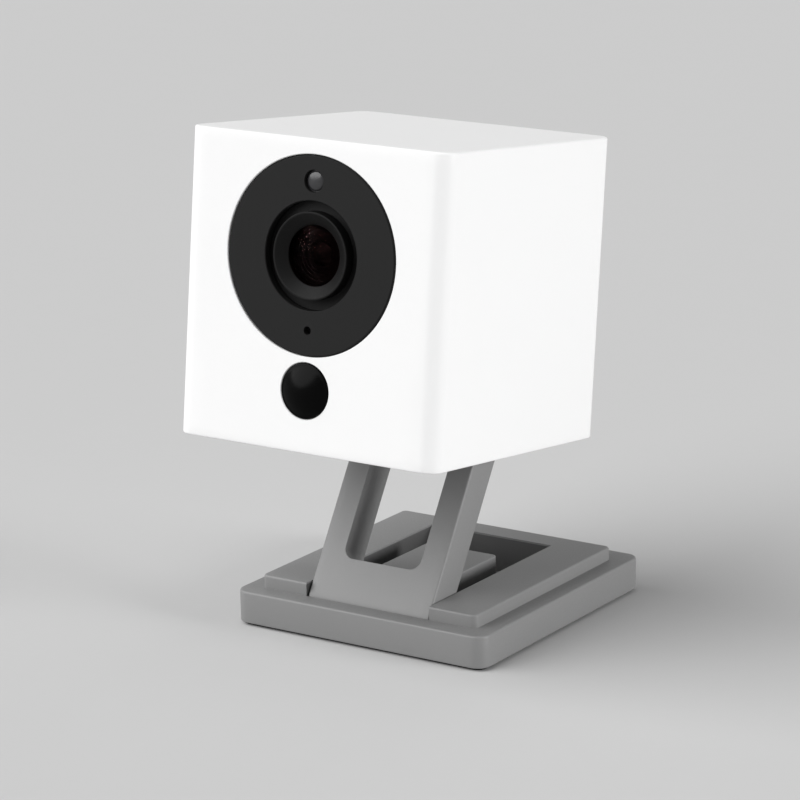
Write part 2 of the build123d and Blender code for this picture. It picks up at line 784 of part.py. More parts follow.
with BuildPart() as microphone_gasket:
    with BuildSketch(head_face(face_thickness, lens_height - mic_offset)):
        Circle(mic_gasket_radius)
        Circle(mic_hole_radius, mode=Mode.SUBTRACT)
    extrude(amount=face_thickness + microphone_thickness - light_board_depth)
microphone_gasket.part.label = "microphone_gasket"
export_step(microphone_gasket.part, "parts/microphone_gasket.step")

# ---------------------------------------------------------------- motion sensor
with BuildPart() as motion_lens:
    with BuildSketch(head_section(dome_height)):
        with BuildLine():
            ThreePointArc((0, -dome_rise), (dome_shoulder_radius, -dome_shoulder_rise), (dome_radius, 0))
            Polyline(
                (dome_radius, 0),
                (dome_radius, wall),
                (dome_radius + dome_flange, wall),
                (dome_radius + dome_flange, wall + dome_flange_thickness),
                (dome_radius - dome_wall, wall + dome_flange_thickness),
                (dome_radius - dome_wall, dome_inner_edge),
                (0, dome_wall - dome_rise),
                (0, -dome_rise),
            )
        make_face()
    revolve(axis=depth_axis(dome_height))
motion_lens.part.label = "motion_lens"
export_step(motion_lens.part, "parts/motion_lens.step")

with BuildPart() as motion_sensor:
    with BuildSketch(head_face(motion_board_depth, dome_height + motion_can_raise)):
        Circle(motion_can_radius)
    extrude(amount=motion_can_length)
motion_sensor.part.label = "motion_sensor"
export_step(motion_sensor.part, "parts/motion_sensor.step")

with BuildPart() as motion_board:
    with BuildSketch(head_face(motion_board_depth, dome_height + motion_board_raise)):
        Rectangle(motion_board_width, motion_board_height)
    extrude(amount=-board_thickness)
motion_board.part.label = "motion_board"
export_step(motion_board.part, "parts/motion_board.step")

# ---------------------------------------------------------------- main board
with BuildPart() as main_board:
    with BuildSketch(head_face(main_board_depth, main_board_z)):
        Rectangle(main_board_width, main_board_height)
    extrude(amount=-main_board_thickness)
    with BuildSketch(head_face(main_board_depth, 0)):
        with Locations(*post_places):
            Circle(screw_radius)
    extrude(amount=-main_board_thickness, mode=Mode.SUBTRACT)
main_board.part.label = "main_board"
export_step(main_board.part, "parts/main_board.step")

with BuildPart() as board_screws:
    with BuildSketch(head_face(main_board_back, 0)):
        with Locations(*post_places):
            Circle(screw_head_radius)
    extrude(amount=-screw_head_thickness)
    with BuildSketch(head_face(main_board_back, 0)):
        with Locations(*post_places):
            Circle(screw_radius)
    extrude(amount=screw_length)
board_screws.part.label = "board_screws"
export_step(board_screws.part, "parts/board_screws.step")

with BuildPart() as board_spacers:
    with BuildSketch(head_face(main_board_depth, lens_height)):
        with GridLocations(2 * spacer_x, 2 * spacer_z, 2, 2):
            RegularPolygon(spacer_radius, 6)
    extrude(amount=board_gap)
board_spacers.part.label = "board_spacers"
export_step(board_spacers.part, "parts/board_spacers.step")

# flat cable folded between the two boards
cable_start = Vector(-cable_width / 2, sensor_board_depth + board_thickness - head_depth / 2, lens_height)
cable_place = HEAD.from_local_coords(cable_start)
with BuildPart() as ribbon_cable:
    with BuildSketch(Plane(origin=cable_place, x_dir=HEAD.y_dir, z_dir=(1, 0, 0))):
        Rectangle(cable_thickness, cable_tail, align=Align.MIN)
        with Locations((0, cable_tail - cable_thickness)):
            Rectangle(board_gap, cable_thickness, align=Align.MIN)
        with Locations((board_gap - cable_thickness, cable_tail - cable_thickness)):
            Rectangle(cable_thickness, cable_tail, align=Align.MIN)
    extrude(amount=cable_width)
ribbon_cable.part.label = "ribbon_cable"
export_step(ribbon_cable.part, "parts/ribbon_cable.step")

with BuildPart() as processor:
    with BuildSketch(head_face(main_board_back, chip_z, chip_x)):
        Rectangle(chip_size, chip_size)
    extrude(amount=-chip_thickness)
processor.part.label = "processor"
export_step(processor.part, "parts/processor.step")

with BuildPart() as heat_sink:
    with BuildSketch(head_face(main_board_back + chip_thickness, chip_z, chip_x)):
        Rectangle(sink_size, sink_size)
    extrude(amount=-sink_base)
    with BuildSketch(head_face(main_board_back + chip_thickness + sink_base, chip_z, chip_x)):
        with GridLocations((sink_size - fin_thickness) / (fin_count - 1), 0, fin_count, 1):
            Rectangle(fin_thickness, sink_size)
    extrude(amount=-fin_height)
heat_sink.part.label = "heat_sink"
export_step(heat_sink.part, "parts/heat_sink.step")

with BuildPart() as radio_shield:
    with BuildSketch(head_face(main_board_back, shield_z, shield_x)):
        Rectangle(shield_width, shield_height)
    extrude(amount=-shield_depth)
radio_shield.part.label = "radio_shield"
export_step(radio_shield.part, "parts/radio_shield.step")

with BuildPart() as wifi_antenna:
    with BuildSketch(head_level(head_height - wall, 0, antenna_y)):
        Rectangle(antenna_width, antenna_depth)
    extrude(amount=-antenna_thickness)
wifi_antenna.part.label = "wifi_antenna"
export_step(wifi_antenna.part, "parts/wifi_antenna.step")

# ---------------------------------------------------------------- speaker, ports and light at the rear
with BuildPart() as speaker_gasket:
    with BuildSketch(head_face(rear_inner, speaker_height)):
        Circle(speaker_radius)
        Circle(speaker_radius - speaker_gasket_width, mode=Mode.SUBTRACT)
    extrude(amount=speaker_gasket_thickness)
speaker_gasket.part.label = "speaker_gasket"
export_step(speaker_gasket.part, "parts/speaker_gasket.step")

with BuildPart() as speaker:
    with BuildSketch(head_face(rear_inner - speaker_gasket_thickness, speaker_height)):
        Circle(speaker_radius)
    extrude(amount=speaker_depth - speaker_magnet_depth)
    with BuildSketch(head_face(rear_inner - speaker_gasket_thickness - speaker_depth, speaker_height)):
        Circle(speaker_magnet_radius)
    extrude(amount=-speaker_magnet_depth)
speaker.part.label = "speaker"
export_step(speaker.part, "parts/speaker.step")

with BuildPart() as port_board:
    with BuildSketch(head_level(port_board_height, 0, inner_half_depth - port_board_depth / 2)):
        Rectangle(port_board_width, port_board_depth)
    extrude(amount=board_thickness)
port_board.part.label = "port_board"
export_step(port_board.part, "parts/port_board.step")

with BuildPart() as usb_socket:
    with BuildSketch(head_face(port_mouth, port_floor + usb_height / 2, usb_x)):
        Rectangle(usb_width, usb_height)
        Rectangle(usb_width - 2 * shell_metal, usb_height - 2 * shell_metal, mode=Mode.SUBTRACT)
    extrude(amount=usb_length)
    with BuildSketch(head_face(port_mouth - usb_length, port_floor + usb_height / 2, usb_x)):
        Rectangle(usb_width, usb_height)
    extrude(amount=-usb_back)
    with BuildSketch(head_face(port_mouth - usb_length, port_floor + usb_height / 2, usb_x)):
        with Locations((0, usb_height / 4)):
            Rectangle(usb_tongue_width, usb_tongue_thickness)
    extrude(amount=usb_tongue_setback - usb_length)
usb_socket.part.label = "usb_socket"
export_step(usb_socket.part, "parts/usb_socket.step")

with BuildPart() as power_inlet:
    with BuildSketch(head_face(port_mouth, port_floor + inlet_height / 2, inlet_x)):
        Rectangle(inlet_width, inlet_height)
        Rectangle(inlet_width - 2 * shell_metal, inlet_height - 2 * shell_metal, mode=Mode.SUBTRACT)
    extrude(amount=inlet_length)
    with BuildSketch(head_face(port_mouth - inlet_length, port_floor + inlet_height / 2, inlet_x)):
        Rectangle(inlet_width, inlet_height)
    extrude(amount=-inlet_back)
    with BuildSketch(head_face(port_mouth - inlet_length, port_floor + inlet_height / 2, inlet_x)):
        with Locations((0, inlet_height / 8)):
            Rectangle(inlet_tongue_width, inlet_tongue_thickness)
    extrude(amount=inlet_tongue_setback - inlet_length)
power_inlet.part.label = "power_inlet"
export_step(power_inlet.part, "parts/power_inlet.step")

with BuildPart() as status_light_pipe:
    with BuildSketch(head_face(head_depth, light_pipe_height)):
        Circle(light_pipe_radius)
    extrude(amount=wall)
    with BuildSketch(head_face(rear_inner, light_pipe_height)):
        Circle(light_pipe_radius + light_pipe_flange)
    extrude(amount=light_pipe_flange_thickness)
status_light_pipe.part.label = "status_light_pipe"
export_step(status_light_pipe.part, "parts/status_light_pipe.step")

with BuildPart() as status_led:
    with BuildSketch(head_face(rear_inner - light_pipe_flange_thickness, light_pipe_height)):
        Rectangle(status_led_size, status_led_size)
    extrude(amount=status_led_thickness)
status_led.part.label = "status_led"
export_step(status_led.part, "parts/status_led.step")

# ---------------------------------------------------------------- button and card socket in the underside
with BuildPart() as setup_button:
    with BuildSketch(head_level(recess_depth, button_x, button_y)):
        Circle(button_radius)
    extrude(amount=button_top - recess_depth)
    with BuildSketch(head_level(cover_top, button_x, button_y)):
        Circle(button_radius + button_flange)
    extrude(amount=button_flange)
setup_button.part.label = "setup_button"
export_step(setup_button.part, "parts/setup_button.step")

with BuildPart() as button_switch:
    with BuildSketch(head_level(button_top + button_travel, button_x, button_y)):
        Rectangle(switch_size, switch_size)
    extrude(amount=switch_height)
button_switch.part.label = "button_switch"
export_step(button_switch.part, "parts/button_switch.step")

with BuildPart() as card_socket:
    with BuildSketch(head_level(cover_top, card_x, card_y)):
        Rectangle(socket_width, socket_depth)
        Rectangle(card_slot_width, card_slot_height, mode=Mode.SUBTRACT)
    extrude(amount=socket_height)
    with BuildSketch(head_level(cover_top + socket_height, card_x, card_y)):
        Rectangle(socket_width, socket_depth)
    extrude(amount=socket_roof)
card_socket.part.label = "card_socket"
export_step(card_socket.part, "parts/card_socket.step")
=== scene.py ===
"""A cube-shaped security camera on a folding stand, with its materials and a plain studio round it."""

import json
from math import cos, pi, radians, sin

import bmesh
import bpy
import numpy as np
from bpy.props import FloatProperty, FloatVectorProperty, PointerProperty
from mathutils import Matrix


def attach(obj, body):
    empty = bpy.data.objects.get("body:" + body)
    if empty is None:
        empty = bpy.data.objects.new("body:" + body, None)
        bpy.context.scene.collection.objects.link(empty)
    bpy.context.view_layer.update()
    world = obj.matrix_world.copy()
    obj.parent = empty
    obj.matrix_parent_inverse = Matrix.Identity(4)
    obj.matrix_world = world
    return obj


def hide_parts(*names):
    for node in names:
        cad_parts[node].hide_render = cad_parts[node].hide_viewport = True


bl_info = {
    "name": "Security camera",
    "version": (1, 0, 0),
    "blender": (4, 5, 0),
    "location": "View3D > Sidebar > Camera",
    "description": "Builds the camera's shells, optics and folding stand round a packed frame",
    "category": "Object",
}

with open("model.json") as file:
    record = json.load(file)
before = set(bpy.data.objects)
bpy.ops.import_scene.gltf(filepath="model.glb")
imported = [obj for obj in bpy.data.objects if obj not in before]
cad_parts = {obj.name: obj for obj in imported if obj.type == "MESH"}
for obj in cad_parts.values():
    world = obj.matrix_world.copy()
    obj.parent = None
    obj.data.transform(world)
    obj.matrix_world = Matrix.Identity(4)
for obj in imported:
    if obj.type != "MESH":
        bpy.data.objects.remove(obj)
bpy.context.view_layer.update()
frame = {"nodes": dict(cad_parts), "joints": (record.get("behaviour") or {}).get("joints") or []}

MM = 0.001
TURN = 96  # points round a turned piece


# ------------------------------------------------------------------ places
class Place:
    """A local frame of the object: an origin and three unit axes, across, back and up."""

    def __init__(self, origin, up):
        self.origin = np.array(origin, float)
        up = np.array(up, float) / np.linalg.norm(up)
        across = np.array((1.0, 0.0, 0.0))
        self.axes = np.array((across, np.cross(up, across), up))

    def out(self, points):
        """The same points in the object's frame."""
        return self.origin + points @ self.axes

    def span(self, node):
        """Lowest and highest corner of a CAD node along this frame's axes."""
        vertices = frame["nodes"][node].data.vertices
        co = np.array([v.co for v in vertices], float)
        local = (co - self.origin) @ self.axes.T
        return local.min(0), local.max(0)


joint = {j["name"]: j for j in frame["joints"]}
lower_hinge = np.array(joint["arm_lean"]["pos_m"])
upper_hinge = np.array(joint["head_tilt"]["pos_m"])
STAND = Place((0, 0, 0), (0, 0, 1))
ARM = Place(lower_hinge, upper_hinge - lower_hinge)
HEAD = Place(joint["head_swivel"]["pos_m"], joint["head_swivel"]["axis"])

head_low, head_high = HEAD.span("housing")
face_low, face_high = HEAD.span("face_plate")
dome_low, dome_high = HEAD.span("motion_lens")
window_low, window_high = HEAD.span("light_window")
bezel_low, bezel_high = HEAD.span("lens_bezel")
glass_low, glass_high = HEAD.span("front_lens")
base_low, base_high = STAND.span("base_body")
pad_low, pad_high = STAND.span("foot_pad")
arm_low, arm_high = ARM.span("arm")
_, table_high = HEAD.span("turntable")
button_low, button_high = HEAD.span("setup_button")
pipe_low, pipe_high = HEAD.span("status_light_pipe")
screws_low, screws_high = HEAD.span("cover_screws")
LENS_Z = (face_low[2] + face_high[2]) / 2
DOME_Z = (dome_low[2] + dome_high[2]) / 2
WINDOW_Z = (window_low[2] + window_high[2]) / 2
FRONT = head_low[1]


# ------------------------------------------------------------------ curves and grids
def spots(*parts):
    """Points from their coordinates, each of which is a number or an array."""
    return np.stack(np.broadcast_arrays(*parts), -1)


def softened(corners, steps=5):
    """A profile of straight runs with rounded corners.

    Each corner is (a, b, radius), and its arc is the circle of that radius that touches both runs.
    """
    points = [np.array(corners[0][:2], float)[None]]
    for before, here, after in zip(corners, corners[1:], corners[2:]):
        p = np.array(here[:2], float)
        u = np.array(before[:2]) - p
        v = np.array(after[:2]) - p
        u, v = u / np.linalg.norm(u), v / np.linalg.norm(v)
        half = np.arccos(np.clip(u @ v, -1, 1)) / 2
        if here[2] <= 0 or half > pi / 2 - 0.01:
            points.append(p[None])
            continue
        start = p + u * here[2] / np.tan(half)
        end = p + v * here[2] / np.tan(half)
        centre = p + (u + v) / np.linalg.norm(u + v) * here[2] / sin(half)
        turn = pi - 2 * half
        t = np.linspace(0, 1, steps + 1)[:, None]
        swing = np.sin((1 - t) * turn) * (start - centre) + np.sin(t * turn) * (end - centre)
        points.append(centre + swing / sin(turn))
    points.append(np.array(corners[-1][:2], float)[None])
    return np.concatenate(points)


def turned(profile, x, z, count=TURN):
    """A profile of (radius, depth) carried round an axis that runs straight back from the front face."""
    angle = np.linspace(0, 2 * pi, count, endpoint=False)
    r, d = profile.T[:, :, None]
    return spots(x + r * np.cos(angle), FRONT + d, z + r * np.sin(angle))


def turned_up(profile, x, y, count=TURN):
    """A profile of (radius, height) carried round an axis that runs straight up."""
    angle = np.linspace(0, 2 * pi, count, endpoint=False)
    r, h = profile.T[:, :, None]
    return spots(x + r * np.cos(angle), y + r * np.sin(angle), h)


def arc(centre, radius, start, end, steps):
    """Points (a, b) on a circle, from one angle to another."""
    angle = np.linspace(start, end, steps + 1)
    return spots(centre[0] + radius * np.cos(angle), centre[1] + radius * np.sin(angle))


def between(outer, inner, steps):
    """A grid of straight lines between two matched rows of points."""
    t = np.linspace(0, 1, steps + 1)[:, None, None]
    return (1 - t) * outer + t * inner


def even_ring(loop, centre, radius):
    """Even points on a circle, matched to a loop of (a, b) round it: same start, same way round."""
    swing = loop - centre
    turn = np.arctan2(swing[:, 1], swing[:, 0])
    way = np.sign(np.sin(turn[1] - turn[0]))
    turn = turn[0] + way * np.arange(len(loop)) / len(loop) * 2 * pi
    return centre + radius * spots(np.cos(turn), np.sin(turn))


def sewn(name, place, patches):
    """One mesh from patches, with outward faces.

    A patch is a grid of points (rows, columns, 3) in the place's frame, with two flags that close its
    rows and its columns on themselves. Points that coincide are merged, so touching patches are sewn.
    """
    points, faces, start = [], [], 0
    for grid, close_rows, close_columns in patches:
        rows, columns = grid.shape[:2]
        i, j = np.meshgrid(
            np.arange(rows if close_rows else rows - 1),
            np.arange(columns if close_columns else columns - 1),
            indexing="ij",
        )
        i2, j2 = (i + 1) % rows, (j + 1) % columns
        quads = spots(i * columns + j, i2 * columns + j, i2 * columns + j2, i * columns + j2)
        faces.append(start + quads.reshape(-1, 4))
        points.append(grid.reshape(-1, 3))
        start += rows * columns
    mesh = bpy.data.meshes.new(name)
    mesh.from_pydata(place.out(np.concatenate(points)).tolist(), [], np.concatenate(faces).tolist())
    sew(mesh)
    return mesh


def lathed(name, profile, z, node, slot, count=TURN, ring=False):
    """A piece of the head turned round an axis straight back at a height; a ring's profile is closed."""
    piece(name, HEAD, [(turned(profile, 0, z, count), ring, True)], "head", [node], slot)


def piece(name, place, patches, body, nodes, slot, sharp=30.0, bevel=0.0, limit=40.0):
    """Joins patches into one closed mesh with smooth shading, and shows it."""
    mesh = sewn(name, place, patches)
    mesh.shade_smooth()
    mesh.set_sharp_from_angle(angle=radians(sharp))
    return shown(name, mesh, body, nodes, slot, bevel, limit)


def sew(mesh, flat=0.0):
    """Merges points that coincide, joins level faces if asked, and turns every face outward."""
    work = bmesh.new()
    work.from_mesh(mesh)
    bmesh.ops.remove_doubles(work, verts=work.verts, dist=0.002 * MM)
    bmesh.ops.dissolve_degenerate(work, edges=work.edges, dist=0.001 * MM)
    if flat:
        bmesh.ops.dissolve_limit(work, angle_limit=radians(flat), verts=work.verts, edges=work.edges)
    bmesh.ops.recalc_face_normals(work, faces=work.faces)
    work.to_mesh(mesh)
    work.free()


def shown(name, mesh, body, nodes, slot, bevel=0.0, limit=40.0):
    """Puts a finished mesh in the scene, on its body, in place of its CAD nodes and in its slot's finish."""
    made = bpy.data.objects.new(name, mesh)
    bpy.context.scene.collection.objects.link(made)
    if bevel:
        soft = made.modifiers.new("soft_edges", "BEVEL")
        soft.width = bevel
        soft.segments = 2
        soft.limit_method = "ANGLE"
        soft.angle_limit = radians(limit)
        soft.harden_normals = True
    made.data.materials.append(finish(slot))
    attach(made, body)
    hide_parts(*nodes)
    return made


def eased_copy(name, node, body, slot, bevel):
    """A merged copy of a CAD node whose sharp edges are rounded, for a moulding full of holes."""
    mesh = frame["nodes"][node].data.copy()
    mesh.name = name
    mesh.materials.clear()
    sew(mesh, flat=0.5)
    mesh.shade_smooth()
    mesh.set_sharp_from_angle(angle=radians(30))
    return shown(name, mesh, body, [node], slot, bevel, 30.0)


# ------------------------------------------------------------------ sizes a user would change
def size_mm(name, description, default, low, high):
    """A size in millimetres, kept in metres."""
    return FloatProperty(name=name, description=description, default=default * MM,
                         min=low * MM, max=high * MM, unit="LENGTH")


def amount(name, description, default, high):
    """A strength or brightness."""
    return FloatProperty(name=name, description=description, default=default, min=0, max=high)


def degrees(name, description, default, low=-180, high=180):
    """An angle in degrees, kept in radians."""
    return FloatProperty(name=name, description=description, default=radians(default),
                         min=radians(low), max=radians(high), subtype="ANGLE")


def linear(code):
    """An sRGB hex colour as linear red, green and blue."""
    value = np.array([int(code[i:i + 2], 16) for i in (1, 3, 5)]) / 255
    return tuple(np.where(value <= 0.04045, value / 12.92, ((value + 0.055) / 1.055) ** 2.4).tolist())


def colour(name, description, code):
    """A colour, given as sRGB hex."""
    return FloatVectorProperty(name=name, description=description, default=linear(code),
                               size=3, subtype="COLOR", min=0, max=1)


class HeadSizes(bpy.types.PropertyGroup):
    """Sizes of the cube-shaped head."""

    corner: size_mm("Corner radius", "Radius of the head's upright corners", 2.75, 2.1, 6)
    top_edge: size_mm("Top edge", "Radius of the edges round the top", 0.4, 0.1, 1)
    rim_edge: size_mm("Rim edge", "Radius of the edges round the bottom rim", 0.25, 0.1, 0.6)
    wall: size_mm("Wall", "Thickness of the shell's walls", 2.0, 1, 2.05)


class FrontSizes(bpy.types.PropertyGroup):
    """Sizes of the round front plate, the lens and the sensor dome."""

    plate_chamfer: size_mm("Plate chamfer", "Width of the chamfer round the front plate", 0.3, 0.05, 0.6)
    groove: size_mm("Groove radius", "Radius of the opening in the front plate round the lens", 8.8, 8, 9.4)
    second_lens: size_mm("Second lens radius", "Radius of the small lens behind the front one", 1.9, 1.5, 3)
    dome_shoulder: size_mm("Dome shoulder", "Width of the rounded rim of the sensor dome", 0.42, 0.1, 1)


class StandSizes(bpy.types.PropertyGroup):
    """Sizes of the base and the folding arm."""

    plate_top: size_mm("Plate top", "Height of the base plate's top above the table", 6.1, 5, 7)
    plate_corner: size_mm("Plate corner", "Radius of the base plate's corners", 2.4, 1, 5)
    frame_corner: size_mm("Frame corner", "Radius of the raised frame's corners", 1.0, 0.6, 3)
    edge: size_mm("Edge", "Radius of the base's top edges", 0.38, 0.1, 0.55)
    arm_edge: size_mm("Arm edge", "Radius of the arm's long outer edges", 0.35, 0.1, 0.6)
    opening_corner: size_mm("Opening corner", "Radius of the inner corners of the arm's opening", 2.0, 0.5, 3)


class ShellColours(bpy.types.PropertyGroup):
    """Colours of the parts that set the camera's look."""

    head: colour("Head", "Colour of the moulded head", "#efefef")
    stand: colour("Stand", "Colour of the base and the arm", "#7f7f7f")
    face: colour("Front plate", "Colour of the round front plate", "#1b1b1b")


class StudioSettings(bpy.types.PropertyGroup):
    """The floor, the lights and the camera's place."""

    floor_colour: colour("Floor", "Colour of the seamless floor", "#cacaca")
    floor_radius: FloatProperty(name="Floor radius", description="How far the floor reaches",
                                default=4.0, min=1, max=20, unit="LENGTH")
    sky: amount("Surroundings", "Brightness of the even light from all round", 0.28, 3)
    backdrop: amount("Backdrop", "Brightness of what is seen beyond the floor", 0.6, 3)
    key: amount("Key light", "Strength of the soft light from the front left", 3.2, 20)
    side: amount("Side light", "Strength of the low soft light from the right", 2.2, 20)
    key_softness: degrees("Key softness", "Apparent width of the key light", 64, 0)
    side_softness: degrees("Side softness", "Apparent width of the side light", 22, 0)
    azimuth: degrees("Azimuth", "How far the camera stands round to the right", 33.713)
    elevation: degrees("Elevation", "How far the camera looks down", 15.147, -90, 90)
    roll: degrees("Roll", "How far the camera is turned about its own view", -0.925)
    stands_at: FloatVectorProperty(name="Camera place", description="Where the camera stands",
                                   default=(0.315725, -0.484715, 0.193338), size=3,
                                   subtype="TRANSLATION", unit="LENGTH")
    lens: FloatProperty(name="Focal length", description="Focal length on a 36 mm sensor, in millimetres",
                        default=159.51, min=10, max=500)


# ------------------------------------------------------------------ materials
def add(tree, kind, inputs=(), **settings):
    """Adds a node: settings are its own properties, and each (socket, value) sets or links an input."""
    node = tree.nodes.new(kind)
    for name, value in settings.items():
        setattr(node, name, value)
    feed(tree, node, inputs)
    return node


def feed(tree, node, inputs):
    """Links each (socket, value) of a node to a socket, or sets it to a plain value."""
    for name, value in inputs:
        if isinstance(value, bpy.types.NodeSocket):
            tree.links.new(value, node.inputs[name])
        else:
            node.inputs[name].default_value = value


def started(name):
    """A new node material with a Principled surface, and its object coordinates."""
    material = bpy.data.materials.new(name)
    material.use_nodes = True
    tree = material.node_tree
    tree.nodes.clear()
    surface = add(tree, "ShaderNodeBsdfPrincipled")
    add(tree, "ShaderNodeOutputMaterial", [("Surface", surface.outputs[0])])
    place = add(tree, "ShaderNodeTexCoord").outputs["Object"]
    return material, tree, surface, place


def scaled(size_mm):
    """The texture scale that gives features of a size in millimetres."""
    return "Scale", 1000.0 / size_mm


def noise(tree, place, size_mm, *inputs, detail=2.0):
    """Soft cloudy values with features of a size."""
    return add(tree, "ShaderNodeTexNoise",
               [("Vector", place), scaled(size_mm), ("Detail", detail), *inputs]).outputs["Fac"]


def ranged(tree, value, low, high, start=0.0, end=1.0):
    """A value stretched to run from low to high."""
    return add(tree, "ShaderNodeMapRange", [("Value", value), ("From Min", start), ("From Max", end),
                                            ("To Min", low), ("To Max", high)]).outputs[0]


def blended(tree, factor, low, high):
    """A colour between two, by a factor."""
    return add(tree, "ShaderNodeMix", [("Factor", factor), (6, low), (7, high)], data_type="RGBA").outputs[2]


def relief(tree, height, strength, depth_mm, **settings):
    """Bumps of a depth in millimetres."""
    inputs = [("Strength", strength), ("Distance", depth_mm * MM), ("Height", height)]
    return add(tree, "ShaderNodeBump", inputs, **settings).outputs[0]


def dimmed(tree, shade, factor):
    """A colour times a factor."""
    return add(tree, "ShaderNodeVectorMath", [(0, shade), ("Scale", factor)], operation="SCALE").outputs[0]


def moulded(name, tint, rough, grain_mm=0.3, relief_mm=0.004, mottle=0.03, spread=0.06, sheen=0.5, deep=""):
    """Moulded plastic: the tool's spark-eroded grain as bump, and the slow drift of tone of a moulding.

    Where a mesh has the named deep attribute, the plastic is painted darker, down to 0.4 of its colour:
    painted shade for a shadowed hollow.
    """
    material, tree, surface, place = started(name)
    dark = tuple(c * (1 - mottle) for c in tint)
    light = tuple(min(1.0, c * (1 + mottle)) for c in tint)
    shade = blended(tree, noise(tree, place, 14), (*dark, 1), (*light, 1))
    grain = noise(tree, place, grain_mm, ("Roughness", 0.6), detail=3.0)
    if deep:
        # painted shade: the colour is dimmed where the deep attribute marks a shadowed hollow
        mask = add(tree, "ShaderNodeAttribute", attribute_name=deep)
        shade = dimmed(tree, shade, ranged(tree, mask.outputs["Fac"], 1.0, 0.4))
    feed(tree, surface, [
        ("Base Color", shade), ("Roughness", ranged(tree, grain, rough - spread, rough + spread, 0.3, 0.7)),
        ("Normal", relief(tree, grain, 0.6, relief_mm)), ("IOR", 1.5), ("Specular IOR Level", sheen)])
    return material


def worked_metal(name, tint, rough, stretch, line_mm=0.08, relief_mm=0.003, stain=0.08):
    """Metal with the fine parallel marks of rolling, drawing or turning, and faint stains."""
    material, tree, surface, place = started(name)
    along = add(tree, "ShaderNodeMapping", [("Vector", place), ("Scale", tuple(1.0 / s for s in stretch))])
    marks = noise(tree, along.outputs[0], line_mm, detail=3.0)
    dull = tuple(c * (1 - stain * 3) for c in tint)
    feed(tree, surface, [
        ("Base Color", blended(tree, noise(tree, place, 3, detail=4.0), (*dull, 1), (*tint, 1))),
        ("Roughness", ranged(tree, marks, rough * 0.7, rough * 1.3)),
        ("Normal", relief(tree, marks, 0.5, relief_mm)), ("Metallic", 1.0)])
    return material


def printed_board(name, mask, track, pitch_mm=1.2):
    """Fibreglass board: copper tracks stand out as lighter lines under the solder mask, with tinned dots."""
    material, tree, surface, place = started(name)
    tracks = add(tree, "ShaderNodeTexBrick",
                 [("Vector", place), scaled(2 * pitch_mm), ("Color1", (*mask, 1)),
                  ("Color2", (*tuple(c * 0.8 for c in mask), 1)), ("Mortar", (*track, 1)),
                  ("Mortar Size", 0.05), ("Mortar Smooth", 0.2)])
    dots = add(tree, "ShaderNodeTexVoronoi", [("Vector", place), scaled(2.6), ("Randomness", 0.7)])
    tinned = add(tree, "ShaderNodeMath", [(0, dots.outputs["Distance"]), (1, 0.12)],
                 operation="LESS_THAN").outputs[0]
    feed(tree, surface, [
        ("Base Color", blended(tree, tinned, tracks.outputs["Color"], (0.55, 0.54, 0.5, 1))),
        ("Metallic", tinned), ("Roughness", 0.32),
        ("Normal", relief(tree, tracks.outputs["Fac"], 0.5, 0.03))])
    return material


def optical(name, tint, ior=1.52, rough=0.02, coat=(1, 1, 1), bloomed=0.0):
    """Polished glass or clear plastic: nearly colourless, with the tint of its coating where it turns away.

    A bloomed lens carries an anti-reflection coating, which lets that share of the light straight through.
    """
    material, tree, surface, place = started(name)
    polish = ranged(tree, noise(tree, place, 2.5), rough, rough + 0.015, 0.4, 0.7)
    feed(tree, surface, [("Roughness", polish), ("Base Color", (*tint, 1)), ("Transmission Weight", 1.0),
                         ("IOR", ior), ("Specular Tint", (*coat, 1))])
    if bloomed:
        through = add(tree, "ShaderNodeBsdfTransparent", [("Color", (*tint, 1))])
        both = add(tree, "ShaderNodeMixShader",
                   [("Fac", bloomed), (1, surface.outputs[0]), (2, through.outputs[0])])
        feed(tree, tree.nodes["Material Output"], [("Surface", both.outputs[0])])
    return material


def open_foam(name, tint, cell_mm=0.5):
    """Cellular sheet: small dark cells with lighter walls, fully matt."""
    material, tree, surface, place = started(name)
    cells = add(tree, "ShaderNodeTexVoronoi", [("Vector", place), scaled(cell_mm)],
                feature="DISTANCE_TO_EDGE").outputs["Distance"]
    feed(tree, surface, [
        ("Base Color", dimmed(tree, tint, ranged(tree, cells, 1.3, 0.5))),
        ("Normal", relief(tree, cells, 0.8, 0.1, invert=True)), ("Roughness", 0.95)])
    return material


